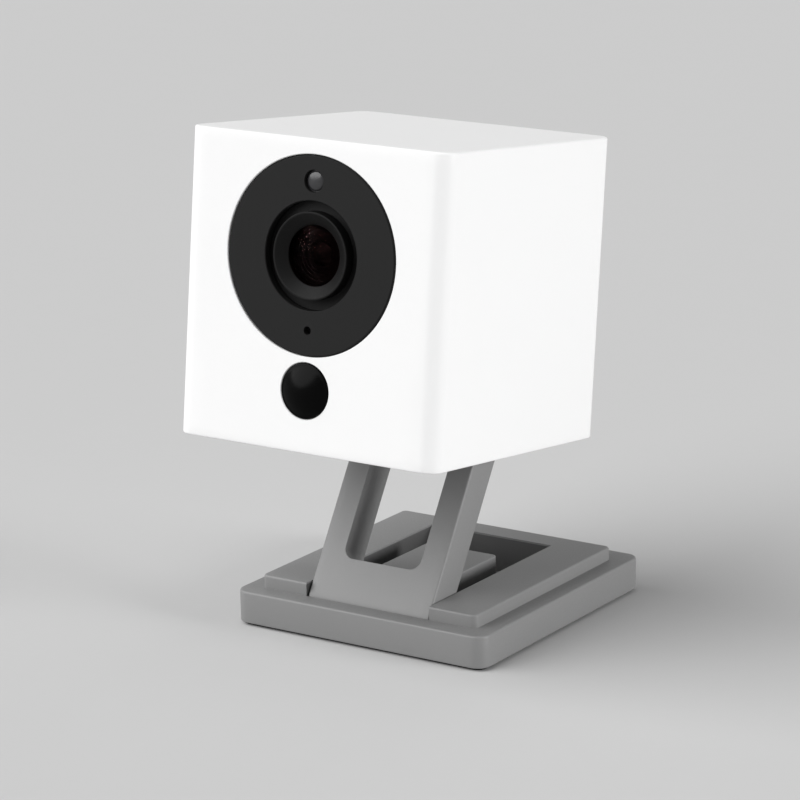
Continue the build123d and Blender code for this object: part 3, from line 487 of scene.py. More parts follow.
PLASTICS = {
    # ABS, injection moulded in a finely eroded tool: clean white with a soft satin highlight
    "white_shell": ("abs_moulded_satin_white", "head", 0.42, dict(mottle=0.006, relief_mm=0.002, sheen=0.25)),
    "button_white": ("abs_moulded_button_white", "head", 0.3, dict(mottle=0.01)),
    # ABS and polycarbonate, moulded grey: flat satin, edges catch a thin light line; painted shade darkens
    # the base's recess
    "grey_shell": ("pc_abs_moulded_grey", "stand", 0.5, dict(mottle=0.02, relief_mm=0.006, deep="recess")),
    "keeper_plastic": ("abs_moulded_keeper", "stand", 0.55, {}),
    # polycarbonate, moulded black: dark satin disc with a fine even grain
    "face_black": ("polycarbonate_moulded_black_face", "face", 0.5,
                   dict(grain_mm=0.25, relief_mm=0.003, sheen=0.12)),
    # acetal, turned black: smooth cone that shades from top to bottom
    "bezel_black": ("acetal_turned_black_ring", "#0f0f0f", 0.5,
                    dict(grain_mm=0.2, relief_mm=0.002, sheen=0.12)),
    # aluminium, black anodised inside: dead dark steps round the lens
    "barrel_black": ("aluminium_anodised_black", "#050505", 0.8, dict(sheen=0.05)),
    # polyethylene, moulded black and thin: glossy bulge that passes heat
    "dome_black": ("polyethylene_moulded_black_dome", "#040404", 0.22,
                   dict(grain_mm=0.6, relief_mm=0.001, spread=0.04, sheen=0.05)),
    # acrylic, cast dark: a shiny bead that lets a little light in
    "smoked_window": ("acrylic_smoked_window", "#2b2b2d", 0.2,
                      dict(grain_mm=0.5, relief_mm=0.003, mottle=0.3)),
    # nitrile rubber, compression moulded: matt, grippy and slightly pebbled
    "rubber_pad": ("nitrile_rubber_foot", "#1b1b1b", 0.85, dict(grain_mm=0.6, relief_mm=0.05, sheen=0.2)),
    # bearings, mounts, emitters, chips and cable inside: each its own resin, colour and grain
    "nylon": ("nylon_moulded_bearing", "#d9d6c8", 0.45, dict(grain_mm=0.4)),
    "mount_black": ("glass_filled_nylon_mount", "#141414", 0.7,
                    dict(grain_mm=0.25, relief_mm=0.01, mottle=0.2)),
    "led_body": ("epoxy_cast_emitter", "#2a2026", 0.12, dict(grain_mm=0.8, relief_mm=0.001)),
    "led_white": ("polyamide_emitter_white", "#e9e7df", 0.4, {}),
    "chip_black": ("epoxy_moulded_chip", "#1d1d1f", 0.55, dict(grain_mm=0.15, relief_mm=0.01)),
    "speaker_black": ("paper_and_polymer_speaker", "#191919", 0.7, dict(grain_mm=0.4, relief_mm=0.02)),
    "sensor_die": ("silicon_sensor_die", "#2c3440", 0.15, dict(grain_mm=0.3, mottle=0.2)),
    "flex_orange": ("polyimide_flat_cable", "#b5651d", 0.35, dict(grain_mm=0.5, mottle=0.15)),
}
METALS = {
    # each keeps the marks of how it was shaped, drawn out along its own axis
    "magnet": ("nickel_plated_magnet", "#c9c7c2", 0.22, (1, 1, 1)),
    "ballast_steel": ("steel_zinc_plated_bar", "#a9adb0", 0.38, (1, 30, 1)),
    "pin_steel": ("steel_ground_pin", "#c4c5c6", 0.24, (0.3, 6, 6)),
    "screw_steel": ("steel_black_zinc_screw", "#6b6b6d", 0.35, (4, 4, 1)),
    "spring_steel": ("spring_steel_rolled_disc", "#b4b1aa", 0.3, (20, 1, 1)),
    "mic_can": ("nickel_silver_pressed_can", "#c8c2b4", 0.28, (10, 1, 1)),
    "can_steel": ("steel_nickel_plated_can", "#bdbcb8", 0.26, (1, 1, 1)),
    "spacer_brass": ("brass_drawn_spacer", "#c9a45a", 0.3, (1, 20, 1)),
    "sink_aluminium": ("aluminium_extruded_sink", "#b9bcbf", 0.42, (1, 1, 30)),
    "shield_steel": ("tinplate_pressed_shield", "#cfcfcb", 0.32, (20, 1, 1)),
    "port_steel": ("steel_pressed_port_shell", "#c3c4c6", 0.25, (1, 20, 1)),
}
GLASSES = {
    # borosilicate, ground and coated: clear with a faint red and violet tint
    "lens_glass": ("borosilicate_coated_front_lens", (0.7, 0.6, 0.6),
                   dict(coat=(0.5, 0.2, 0.18), bloomed=0.98)),
    "inner_glass": ("borosilicate_coated_inner_lens", (0.3, 0.28, 0.28),
                    dict(coat=(0.55, 0.5, 0.5), bloomed=0.6)),
    # thin plate and clear rod: pale green glass, and a slightly hazy window over the status light
    "filter_glass": ("glass_infrared_filter", (0.75, 0.9, 0.88), dict(coat=(1.0, 0.5, 0.6))),
    "light_pipe": ("polycarbonate_clear_light_pipe", (0.95, 0.95, 0.94), dict(ior=1.58, rough=0.12)),
}
BOARDS = {
    # laminated fibreglass: solder mask, with copper tracks a shade lighter
    "board_green": ("fibreglass_board_green", "#1c5c36", "#2f8a52"),
    "board_black": ("fibreglass_board_black", "#17191b", "#2b2f33"),
}
FOAMS = {
    # cut polyurethane: dark open cells
    "gasket_foam": ("polyurethane_foam_gasket", "#26262a"),
}
FINISHES = {**PLASTICS, **METALS, **GLASSES, **BOARDS, **FOAMS}


def finish(slot):
    """The material of a slot, made the first time it is asked for."""
    name, tint, *rest = FINISHES[slot]
    if name in bpy.data.materials:
        return bpy.data.materials[name]
    if slot in GLASSES:
        return optical(name, tint, **rest[0])
    if slot in BOARDS:
        return printed_board(name, linear(tint), linear(rest[0]))
    if slot in FOAMS:
        return open_foam(name, linear(tint))
    if slot in METALS:
        return worked_metal(name, linear(tint), *rest)
    # a tint without a hash is one of the colours that the user can set
    shade = linear(tint) if tint[0] == "#" else tuple(getattr(bpy.context.scene.camera_colours, tint))
    return moulded(name, shade, rest[0], **rest[1])


# ------------------------------------------------------------------ the head
ACROSS = 32  # quads across the front, between its two rounded corners
ROUND = 8  # quads round each upright corner
ALONG = 12  # quads along each side
BELOW, ABOVE = 11, 25  # rows of quads in the dome's band and in the front plate's band
QUARTER = np.linspace(0, pi / 2, 6)  # angles round an eased edge
CHAMFER = 0.12 * MM  # small chamfers and grooves
EASED = 0.12 * MM  # bevel of the stand's and the covers' edges


def lifted(row, z):
    """A row of (x, y) at a height."""
    return spots(row[:, 0], row[:, 1], z)


class HeadShell(bpy.types.Operator):
    """Build the white shell: an open box with rounded corners, and holes for the front plate and the dome"""

    bl_idname = "security_camera.head_shell"
    bl_label = "Head shell"

    def side(self, inset, sizes):
        """Right-hand path from the flat front to the rear seam, moved inwards by an inset.

        A quarter circle, a straight side, then the part of a quarter circle that ends at the seam.
        """
        half, back, r = head_high[0], head_high[1], sizes.corner
        seam = np.arccos((r - sizes.wall) / r)
        y = np.linspace(FRONT + r, back - r, ALONG + 1)[1:-1]
        return np.concatenate((
            arc((half - r, FRONT + r), r - inset, -pi / 2, 0, ROUND), spots(half - inset, y),
            arc((half - r, back - r), r - inset, 0, seam, ROUND)))

    def inner_side(self, sizes):
        """The same path along the inside of the wall, meeting the outside at the rear seam."""
        half, back, r, t = head_high[0], head_high[1], sizes.corner, sizes.wall
        seam = np.arccos((r - t) / r)
        y = np.linspace(FRONT + r, back - r, ALONG + 1)[1:-1]
        end = back - r + r * np.sin(np.linspace(0, seam, ROUND + 1))
        return np.concatenate((
            arc((half - r, FRONT + r), r - t, -pi / 2, 0, ROUND), spots(half - t, np.concatenate((y, end)))))

    def open_loop(self, path):
        """Left side from its rear seam, the front, then the right side, as one row of (x, y)."""
        x = np.linspace(-path[0, 0], path[0, 0], ACROSS + 1)[1:-1]
        return np.concatenate((path[::-1] * (-1, 1), spots(x, path[0, 1]), path))

    def holed(self, low, high, steps, half, centre, rings):
        """A flat front between two heights with a round hole in it.

        Lines run from its outline to even points on a circle, the first of the rings of (radius, depth).
        """
        x = np.linspace(-half, half, ACROSS + 1)
        z = np.linspace(low, high, steps + 1)
        middle = ACROSS // 2
        outline = np.concatenate((
            spots(x[middle:-1], low), spots(half, z[:-1]), spots(x[:0:-1], high),
            spots(-half, z[:0:-1]), spots(x[:middle], low)))
        angle = -pi / 2 + np.arange(len(outline)) / len(outline) * 2 * pi
        circles = np.array([spots(r * np.cos(angle), d, centre + r * np.sin(angle)) for r, d in rings])
        edge = spots(outline[:, 0], rings[0][1], outline[:, 1])
        return np.concatenate((between(edge, circles[0], 6), circles[1:])), False, True

    def execute(self, context):
        sizes = context.scene.camera_head
        half, back, top = head_high
        t, e, lip = sizes.wall, sizes.top_edge, sizes.rim_edge
        split = 15.15 * MM  # height that parts the dome's band from the front plate's
        dome_hole = 4.6 * MM
        plate_gap, ledge_width = 0.1 * MM, 1.6 * MM
        flat = half - sizes.corner
        ceiling = top - t
        z = np.concatenate((np.linspace(lip, split, BELOW + 1), np.linspace(split, ceiling, ABOVE + 1)[1:]))

        outer, inner = self.side(0, sizes), self.inner_side(sizes)
        loop, inner_loop = self.open_loop(outer), self.open_loop(inner)
        first = len(outer) - 1
        last = first + ACROSS
        patches = []
        for row in (loop, inner_loop):
            wall = np.array([lifted(row, h) for h in z])
            patches += [(wall[:, :first + 1], False, False), (wall[:, last:], False, False)]
        # bottom rim: a quarter circle out of the outer wall, a flat, and a quarter circle into the inner wall
        turn = np.linspace(0, pi / 2, 4)
        share = np.concatenate((lip * (1 - np.cos(turn)), t - lip * (1 - np.cos(turn[::-1])))) / t
        height = np.concatenate((lip * (1 - np.sin(turn)), lip * (1 - np.sin(turn[::-1]))))
        rim = [lifted((1 - w) * loop + w * inner_loop, h) for w, h in zip(share, height)]
        patches.append((np.array(rim), False, False))
        # holes: the seat of the front plate with its ledge, and the dome's opening
        hole = (face_high[0] - face_low[0]) / 2 + plate_gap
        ledge = hole - ledge_width
        seat, inside = face_high[1], FRONT + t
        plate_rings = ((hole + CHAMFER, FRONT), (hole, FRONT + CHAMFER), (hole, seat),
                       (ledge, seat), (ledge, inside))
        dome_rings = ((dome_hole + CHAMFER, FRONT), (dome_hole, FRONT + CHAMFER), (dome_hole, inside))
        for rings in (plate_rings, plate_rings[-1:]):
            patches.append(self.holed(split, ceiling, ABOVE, flat, LENS_Z, rings))
        for rings in (dome_rings, dome_rings[-1:]):
            patches.append(self.holed(lip, split, BELOW, flat, DOME_Z, rings))

        # top: closed loops that bend over the edge, then rows across
        def ring(inset):
            rear = spots(np.linspace(flat, -flat, ACROSS + 1), back - inset)
            return np.concatenate((self.open_loop(self.side(inset, sizes)), rear))

        band = [lifted(ring(0), ceiling)]
        band += [lifted(ring(e * (1 - cos(a))), top - e + e * sin(a)) for a in QUARTER]
        patches.append((np.array(band), False, True))
        across = np.linspace(1, -1, ACROSS + 1)
        for path, rear, h in ((self.side(e, sizes), back - e, top), (inner, back, ceiling)):
            rows = np.concatenate((path, [(flat, rear)]))
            patches.append((spots(rows[:, :1] * across, rows[:, 1:], h), False, False))
        piece("head_shell", HEAD, patches, "head", ["housing"], "white_shell")
        return {"FINISHED"}


class HeadCovers(bpy.types.Operator):
    """Build the rear cover and the underside cover, with eased edges round every hole"""

    bl_idname = "security_camera.head_covers"
    bl_label = "Rear and underside covers"

    def execute(self, context):
        eased_copy("rear_panel", "rear_cover", "head", "white_shell", EASED)
        eased_copy("underside_panel", "bottom_cover", "head", "white_shell", EASED)
        eased_copy("card_slot_cage", "card_socket", "head",
                   frame["nodes"]["card_socket"].material_slots[0].material.name, EASED / 2)
        return {"FINISHED"}


class CoverScrews(bpy.types.Operator):
    """Build the four cover screws: a domed head whose cross recess is a smooth dip, and a threaded shank"""

    bl_idname = "security_camera.cover_screws"
    bl_label = "Cover screws"

    def execute(self, context):
        count = 72
        head_r, shank_r, neck = 1.95 * MM, 0.95 * MM, 1.0 * MM
        arm_half, arm_reach, arm_depth = 0.26 * MM, 1.1 * MM, 0.55 * MM  # of the cross recess
        pitch, thread_depth = 0.8 * MM, 0.12 * MM
        x0, y0 = screws_high[:2] - 2.0 * MM
        low, high = screws_low[2], screws_high[2]
        angle = np.linspace(0, 2 * pi, count, endpoint=False)
        # head: height rises towards the rim, less a dip where either arm of the cross passes
        r = np.linspace(0, head_r - 0.15 * MM, 16)[:, None]
        x, y = r * np.cos(angle), r * np.sin(angle)
        near, far = np.minimum(np.abs(x), np.abs(y)), np.maximum(np.abs(x), np.abs(y))
        dip = 1 / (1 + np.exp((near - arm_half) / (0.04 * MM)))
        dip /= 1 + np.exp((far - arm_reach) / (0.06 * MM))
        face = spots(x, y, low + 0.02 * MM + 0.1 * MM * (r / head_r) ** 2 + arm_depth * dip)
        # shank: radius swings with a helix
        h = np.linspace(low + neck, high - 0.1 * MM, 60)[:, None]
        thread = shank_r - thread_depth * (0.5 + 0.5 * np.cos(2 * pi * h / pitch - angle))
        shank = spots(thread * np.cos(angle), thread * np.sin(angle), h)
        collar = np.array([
            (head_r, low + 0.25 * MM), (head_r, low + 0.9 * MM), (head_r - 0.1 * MM, low + neck)])
        tip = turned_up(np.array([(0, high)]), 0, 0, count)
        one = np.concatenate((face, turned_up(collar, 0, 0, count), shank, tip))
        patches = [(one + (sx * x0, sy * y0, 0), False, True) for sx in (-1, 1) for sy in (-1, 1)]
        piece("cover_screw_set", HEAD, patches, "head", ["cover_screws"], "screw_steel", sharp=40)
        return {"FINISHED"}


class RearDetails(bpy.types.Operator):
    """Build the clear light pipe, the setup button and eased port shells at the rear and underneath"""

    bl_idname = "security_camera.rear_details"
    bl_label = "Ports, light pipe and button"

    def execute(self, context):
        # light pipe: an eased window as deep as the cover, then a wider flange
        window, cover = 1.15 * MM, 2 * MM
        flange, z = (pipe_high[2] - pipe_low[2]) / 2, (pipe_low[2] + pipe_high[2]) / 2
        rear, inner = head_high[1] - FRONT, pipe_low[1] - FRONT
        profile = softened([
            (0, rear, 0), (window * 0.9, rear, 0.2 * MM), (window, rear - 0.3 * MM, 0.1 * MM),
            (window, rear - cover, 0), (flange, rear - cover, 0), (flange, inner, 0.1 * MM), (0, inner, 0)])
        lathed("status_light_window", profile, z, "status_light_pipe", "light_pipe", 48)
        # button: dished face, rounded rim, straight side, then the hidden flange
        x, y, _ = (button_low + button_high) / 2
        wide = (button_high[0] - button_low[0]) / 2
        short = 0.02 * MM  # so that the pressed button just clears its switch
        low, high = button_low[2], button_high[2] - short
        cap, under, over = 1.98 * MM, low + 1.4 * MM, low + 2.0 * MM
        profile = softened([
            (0, low + 0.25 * MM, 0), (cap * 0.72, low + 0.12 * MM, 1.5 * MM), (cap, low, 0.22 * MM),
            (cap, under, 0), (wide, under, 0), (wide, over, 0), (cap, over, 0), (cap, high, 0.2 * MM),
            (0, high, 0)])
        piece("setup_button_cap", HEAD, [(turned_up(profile, x, y, 64), False, True)], "setup_button",
              ["setup_button"], "button_white")
        eased_copy("usb_port_shell", "usb_socket", "head", "port_steel", 0.08 * MM)
        eased_copy("power_port_shell", "power_inlet", "head", "port_steel", 0.06 * MM)
        return {"FINISHED"}


# ------------------------------------------------------------------ the front
CELLS = 8  # quads across the band of the plate that holds the two small holes, and each side of a hole


class FrontPlate(bpy.types.Operator):
    """Build the round black plate: a polar grid with two holes let into it, a chamfer and a groove edge"""

    bl_idname = "security_camera.front_plate"
    bl_label = "Front plate"

    def layer(self, rings, hole_angles, hole_radii, y, count=256):
        """One face of the plate: polar cells, with those round each hole replaced by lines to its circle."""
        angle = np.linspace(0, 2 * pi, count, endpoint=False)
        r = rings[:, None]
        grid = spots(r * np.cos(angle), y, r * np.sin(angle))
        first, last = 1, 1 + CELLS
        patches = [(grid[:first + 1], False, True), (grid[last:], False, True)]
        middle = grid[first:last + 1]
        places = [int(round(a / (2 * pi) * count)) for a in hole_angles]
        for here, after in zip(places, places[1:] + places[:1]):
            end = after + (count if after <= here else 0)
            patches.append((middle[:, np.arange(here + CELLS, end - CELLS + 1) % count], False, False))
        holes = []
        for here, a, radius in zip(places, hole_angles, hole_radii):
            block = middle[:, np.arange(here - CELLS, here + CELLS + 1) % count]
            loop = np.concatenate((block[0, :-1], block[:-1, -1], block[-1, :0:-1], block[:0:-1, 0]))
            spot = (rings[first] + rings[last]) / 2 * np.array((cos(a), sin(a)))
            x, z = even_ring(loop[:, [0, 2]], spot, radius).T
            holes.append(spots(x, y, z))
            patches.append((between(loop, holes[-1], 5), False, True))
        return patches, holes, grid[0], grid[-1]

    def execute(self, context):
        sizes = context.scene.camera_front
        chamfer, groove = sizes.plate_chamfer, sizes.groove
        radius = (face_high[0] - face_low[0]) / 2
        depth = face_high[1] - face_low[1]
        microphone, flare, hole_chamfer = 0.65 * MM, 0.05 * MM, 0.1 * MM
        holes = np.array(((window_high[0] - window_low[0]) / 2, microphone))
        angles = (pi / 2, 3 * pi / 2)
        band, wide = WINDOW_Z - LENS_Z, 2.35 * MM
        cells = np.linspace(band - wide, band + wide, CELLS + 1)
        rings = np.concatenate(([groove + CHAMFER], cells, [radius - chamfer]))
        front, front_holes, inner, outer = self.layer(rings, angles, holes + flare, 0.0)
        rings = np.concatenate(([groove], cells, [radius]))
        back, back_holes, inner_back, outer_back = self.layer(rings, angles, holes, depth)
        edges = [(outer, outer_back, chamfer), (inner, inner_back, CHAMFER)]
        edges += [(near, far, hole_chamfer) for near, far in zip(front_holes, back_holes)]
        patches = front + back
        patches += [(np.array([near, far * (1, 0, 1) + (0, deep, 0), far]), False, True)
                    for near, far, deep in edges]
        moved = [(grid + (0, FRONT, LENS_Z), rows, columns) for grid, rows, columns in patches]
        piece("front_plate", HEAD, moved, "head", ["face_plate"], "face_black")
        return {"FINISHED"}


def domed(r, radius, rim, rise):
    """A profile of (radius, depth) that bulges forward from its rim as a parabola."""
    return spots(r, rim - rise * (1 - (r / radius) ** 2))


class LensParts(bpy.types.Operator):
    """Build the lens: a conical ring in the groove, bulging front glass, stepped baffles and a second lens"""

    bl_idname = "security_camera.lens_parts"
    bl_label = "Lens"

    def execute(self, context):
        sizes = context.scene.camera_front
        second = sizes.second_lens
        flange = (bezel_high[0] - bezel_low[0]) / 2
        back = bezel_high[1] - FRONT
        ring, lip = 7.1 * MM, -0.3 * MM  # the ring's outer wall, and how far it stands out
        mouth, cone_end = 4.95 * MM, 0.95 * MM  # bore, and where the cone meets it
        seat, dish, fine = 1.2 * MM, 1.75 * MM, 0.05 * MM
        crest = (ring - 0.3 * MM, lip, 0)
        # cross-section: rounded lip, cone down to the glass, bore, flange under the plate and outer wall
        profile = softened([
            crest, (ring, lip, 0.14 * MM), (ring, dish, fine), (sizes.groove - fine, dish, fine),
            (sizes.groove + 0.2 * MM, seat, 0), (flange, seat, fine), (flange, back, 0), (mouth, back, 0),
            (mouth, cone_end, 0.08 * MM), (ring - 0.38 * MM, lip + 0.02 * MM, 0.12 * MM), crest])[:-1]
        lathed("lens_ring", profile, LENS_Z, "lens_bezel", "bezel_black", 128, ring=True)

        # front glass: outside a cap, inside a flatter hollow
        edge, hollow = (glass_high[0] - glass_low[0]) / 2, 4.3 * MM
        rim, rise, inner_rise = 1.0 * MM, 1.1 * MM, 0.95 * MM
        foot = rim + 0.65 * MM
        profile = np.concatenate((
            domed(np.linspace(0, edge, 24), edge, rim, rise), [(edge, foot), (hollow + 0.2 * MM, foot)],
            domed(np.linspace(hollow, 0, 20), hollow, rim + 0.6 * MM, inner_rise)))
        lathed("front_glass", profile, LENS_Z, "front_lens", "lens_glass")

        # baffles: rings that step inwards towards the second lens, then the outside of the barrel
        low, high = HEAD.span("lens_barrel")
        outer = (high[0] - low[0]) / 2
        start, end = low[1] - FRONT, high[1] - FRONT
        steps, widest, clear, play = 5, 4.2 * MM, 0.25 * MM, 0.02 * MM
        stairs = np.repeat(spots(np.linspace(widest, second + clear, steps),
                                 np.linspace(start + 0.1 * MM, start + 0.6 * MM, steps)), 2, axis=0)
        deepest = stairs[-1, 1]
        stairs[:-1, 1] = stairs[1:, 1]
        bore = second + play
        profile = np.concatenate((
            [(outer, end), (outer, start), (widest + 0.1 * MM, start)], stairs,
            [(bore, deepest + 0.15 * MM), (bore, end)]))
        lathed("lens_baffles", profile, LENS_Z, "lens_barrel", "barrel_black", ring=True)

        # second lens: a small steep cap with a flat back
        place, bulge, thick = deepest + 0.1 * MM, 0.5 * MM, 1.6 * MM
        cap = domed(np.linspace(0, second, 16), second, place, bulge)
        profile = np.concatenate((cap, [(second, place + thick), (0, place + thick)]))
        lathed("second_glass", profile, LENS_Z, "inner_lens", "inner_glass", 64)
        return {"FINISHED"}


class SensorParts(bpy.types.Operator):
    """Build the motion sensor's dome with its rounded rim, and the small light-sensor window in the plate"""

    bl_idname = "security_camera.sensor_parts"
    bl_label = "Sensors"

    def execute(self, context):
        # dome: a quarter circle at the rim, then a cap that flattens towards the middle
        shoulder = context.scene.camera_front.dome_shoulder
        outer, wall, skin = 4.5 * MM, 2.0 * MM, 0.4 * MM
        rise, back = FRONT - dome_low[1], dome_high[1] - FRONT
        flange = (dome_high[0] - dome_low[0]) / 2
        inner, sunk = outer - shoulder, 0.5 * shoulder
        turn = np.linspace(0, pi / 2, 7)
        profile = np.concatenate((
            [(inner - skin, back), (flange, back), (flange, wall), (outer, wall)],
            spots(inner + shoulder * np.cos(turn), -sunk * np.sin(turn)),
            domed(np.linspace(inner, 0, 22)[1:], inner, -sunk, rise - sunk),
            domed(np.linspace(0, inner - skin, 12), inner, 0.6 * MM, rise * 0.9)))
        lathed("motion_dome", profile, DOME_Z, "motion_lens", "dome_black", ring=True)

        # window: a low dome sunk in its hole, and a floor that reaches the hole's wall
        hole, depth = (window_high[0] - window_low[0]) / 2, window_high[1] - window_low[1]
        lens, rim, bulge, floor = hole - 0.22 * MM, 0.55 * MM, 0.28 * MM, 0.75 * MM
        r = np.linspace(0, lens, 14)
        cap = spots(r, rim - bulge * np.sqrt(np.clip(1 - (r / lens) ** 2, 0, 1)))
        profile = np.concatenate((cap, [(lens, floor), (hole, floor), (hole, depth), (0, depth)]))
        lathed("light_sensor_window", profile, WINDOW_Z, "light_window", "smoked_window", 64)
        return {"FINISHED"}


# ------------------------------------------------------------------ the stand
RUN, BEND, LONG, SHORT, MIDDLE = 6, 6, 12, 3, 14  # quads in each stretch of the base's outlines
LEG, CROSSBAR = 4.5 * MM, 6.7 * MM  # width of the arm's legs, and its crossbar's top above the lower axis
THICK = arm_high[1] - arm_low[1]
REACH = np.linalg.norm(upper_hinge - lower_hinge)  # between the arm's two axes
FOLDED = lower_hinge[1] + REACH  # how far back the folded arm puts its upper axis


def half_outline(half, front, back, radius, gap, stop, inset=0.0):
    """Right-hand half of a rounded rectangle, as (x, y) from the front to the back.

    A run from the gap to the corner, a quarter circle, the side in two stretches that meet at a stop,
    another quarter circle and a run back to the gap. An inset moves it all inwards.
    """
    r = max(radius - inset, 0.02 * MM)
    x, f, b = half - inset, front + inset, back - inset
    side = np.concatenate((np.linspace(f + r, stop, LONG + 1)[1:], np.linspace(stop, b - r, SHORT + 1)[1:-1]))
    runs = np.linspace(gap, x - r, RUN + 1)[:-1]
    return np.concatenate((
        spots(runs, f), arc((x - r, f + r), r, -pi / 2, 0, BEND), spots(x, side),
        arc((x - r, b - r), r, 0, pi / 2, BEND), spots(runs[::-1], b)))


def closed_outline(half_row, z):
    """Both halves and the stretches between them, as one closed row of (x, y, z)."""
    gap = half_row[0, 0]
    x = np.linspace(gap, -gap, MIDDLE + 1)[1:-1]
    return lifted(np.concatenate((
        half_row, spots(x, half_row[-1, 1]), half_row[::-1] * (-1, 1), spots(-x, half_row[0, 1]))), z)


def rows_across(half_row, z, gap, first=0, last=None, cheek=0):
    """Rows of points across the inside of an outline: all of it, or only the cheek on one side."""
    rows = half_row[RUN:len(half_row) - RUN][first:last]
    x, y = rows[:, :1], rows[:, 1:]
    right = gap + (x - gap) * np.linspace(0, 1, RUN + 1)
    if cheek:
        return spots(cheek * right, y, z), False, False
    middle = np.linspace(-gap, gap, MIDDLE + 1)[1:-1] + 0 * x
    return spots(np.concatenate((-right[:, ::-1], middle, right), 1), y, z), False, False


class StandBase(bpy.types.Operator):
    """Build the base: a plate, a raised frame open at the front, the recess inside it and the island"""

    bl_idname = "security_camera.stand_base"
    bl_label = "Base"

    def island(self, half, front, back, radius, inset, z, along):
        """Closed row round the island, moved inwards by an inset, with a number of quads on each side."""
        bend = 3
        r, half, front, back = radius - inset, half - inset, front + inset, back - inset
        corners = [arc((sx * (half - r), y), r, start, start + pi / 2, 2 * bend) for sx, y, start in
                   ((-1, front + r, pi), (1, front + r, 1.5 * pi), (1, back - r, 0), (-1, back - r, pi / 2))]
        row = []
        for here, after, count in zip(corners, corners[1:] + corners[:1], (MIDDLE, along, MIDDLE, along)):
            row += [here, between(here[-1:], after[:1], count - 2 * bend)[1:-1, 0]]
        return lifted(np.roll(np.concatenate(row), -bend, axis=0), z)

    def execute(self, context):
        sizes = context.scene.camera_stand
        e = sizes.edge
        half, front, back = base_high[0], base_low[1], base_high[1]
        low, top, plate = base_low[2], base_high[2], sizes.plate_top
        border, rear_border = 3.4 * MM, 4.5 * MM  # width of the plate that shows round the frame
        frame_half, frame_front, frame_back = half - border, front + border, back - rear_border
        side_gap, end_gap, floor_gap = 0.2 * MM, 0.3 * MM, 0.1 * MM  # round the folded arm
        gap = arm_high[0] + side_gap
        stop = FOLDED + THICK / 2 + end_gap
        floor = lower_hinge[2] - THICK / 2 - floor_gap

        def plate_half(inset):
            return half_outline(half, front, back, sizes.plate_corner, gap, stop, inset)

        def frame_half_row(inset):
            return half_outline(frame_half, frame_front, frame_back, sizes.frame_corner, gap, stop, inset)

        # plate: a small curve under it, the wall, the top edge's curve, then the top in to the frame
        small = 0.3 * MM
        rows = [closed_outline(plate_half(small * (1 - sin(a))), low + small * (1 - cos(a))) for a in QUARTER]
        rows += [closed_outline(plate_half(e * (1 - cos(a))), plate - e + e * sin(a)) for a in QUARTER]
        foot = closed_outline(frame_half_row(0), plate)
        patches = [(np.array(rows), False, True), (between(rows[-1], foot, 2), False, True),
                   rows_across(plate_half(small), low, gap)]
        # frame: wall and top edge, without the stretch across the open front
        open_part = 2 * len(frame_half_row(0)) + MIDDLE - 1
        insets = np.concatenate(([0], e * (1 - np.cos(QUARTER))))
        heights = np.concatenate(([plate], top - e + e * np.sin(QUARTER)))
        wall = np.array([closed_outline(frame_half_row(d), z)[:open_part] for d, z in zip(insets, heights)])
        patches.append((wall, False, False))
        # frame top: two cheeks, then whole rows behind the recess
        upper = frame_half_row(e)
        stop_row = BEND + LONG
        patches += [rows_across(upper, top, gap, 0, stop_row + 1, cheek) for cheek in (-1, 1)]
        patches.append(rows_across(upper, top, gap, stop_row))
        # recess: side walls that follow the frame's front curve, the back wall and the low front wall
        levels = np.concatenate(([floor], heights))[:, None]
        depths = np.concatenate(([0], insets))
        sides = np.array([frame_half_row(d)[RUN:RUN + stop_row + 1, 1] for d in depths])
        x = np.linspace(-gap, gap, MIDDLE + 1)
        patches += [(spots(cheek * gap, sides, levels), False, False) for cheek in (-1, 1)]
        patches.append((spots(x, stop, levels), False, False))
        patches.append((spots(x, frame_front, np.array([[floor], [plate]])), False, False))
        # recess floor round the island, whose own outline has as many points on each side
        y = sides[0]
        rim = lifted(np.concatenate((
            spots(x[:-1], y[0]), spots(gap, y[:-1]), spots(x[:0:-1], y[-1]), spots(-gap, y[:0:-1]))), floor)
        behind_bar, soft = 1.1 * MM, 0.25 * MM
        outline = (7.15 * MM, lower_hinge[1] + CROSSBAR + behind_bar, 7.1 * MM, 0.8 * MM)
        island_half, island_front, island_back, island_corner = outline
        along = len(y) - 1
        walls = [self.island(*outline, 0, floor, along)]
        walls += [self.island(*outline, soft * (1 - cos(a)), top - soft + soft * sin(a), along)
                  for a in QUARTER]
        patches += [(between(rim, walls[0], 3), False, True), (np.array(walls), False, True)]
        ring = walls[-1]
        side = ring[ring[:, 0] > island_half - island_corner - 1e-7]
        side = side[np.argsort(side[:, 1])]
        across = np.linspace(1, -1, MIDDLE - 5)
        patches.append((spots(side[:, :1] * across, side[:, 1:2], side[:, 2:]), False, False))
        made = piece("stand_base", STAND, patches, "base", ["base_body"], "grey_shell", bevel=EASED)
        # painted shade in the recess: 1 on its floor and lower walls, which the grey finish paints darker, 0
        # at its mouth and outside
        co = np.array([v.co for v in made.data.vertices])
        x, y, z = np.abs(co[:, 0]), co[:, 1], co[:, 2]
        near = 0.05 * MM
        inside = (x < gap + near) & (y > frame_front - near) & (y < stop + near) & (z < top - e + near)
        above = z > floor + near
        on_island = (x < island_half + near) & (y > island_front - near) & (y < island_back + near) & above
        on_front = (y < frame_front + near) & above
        deep = made.data.attributes.new("recess", "FLOAT", "POINT")
        deep.data.foreach_set("value", (inside & ~on_island & ~on_front).astype(np.float32))
        return {"FINISHED"}


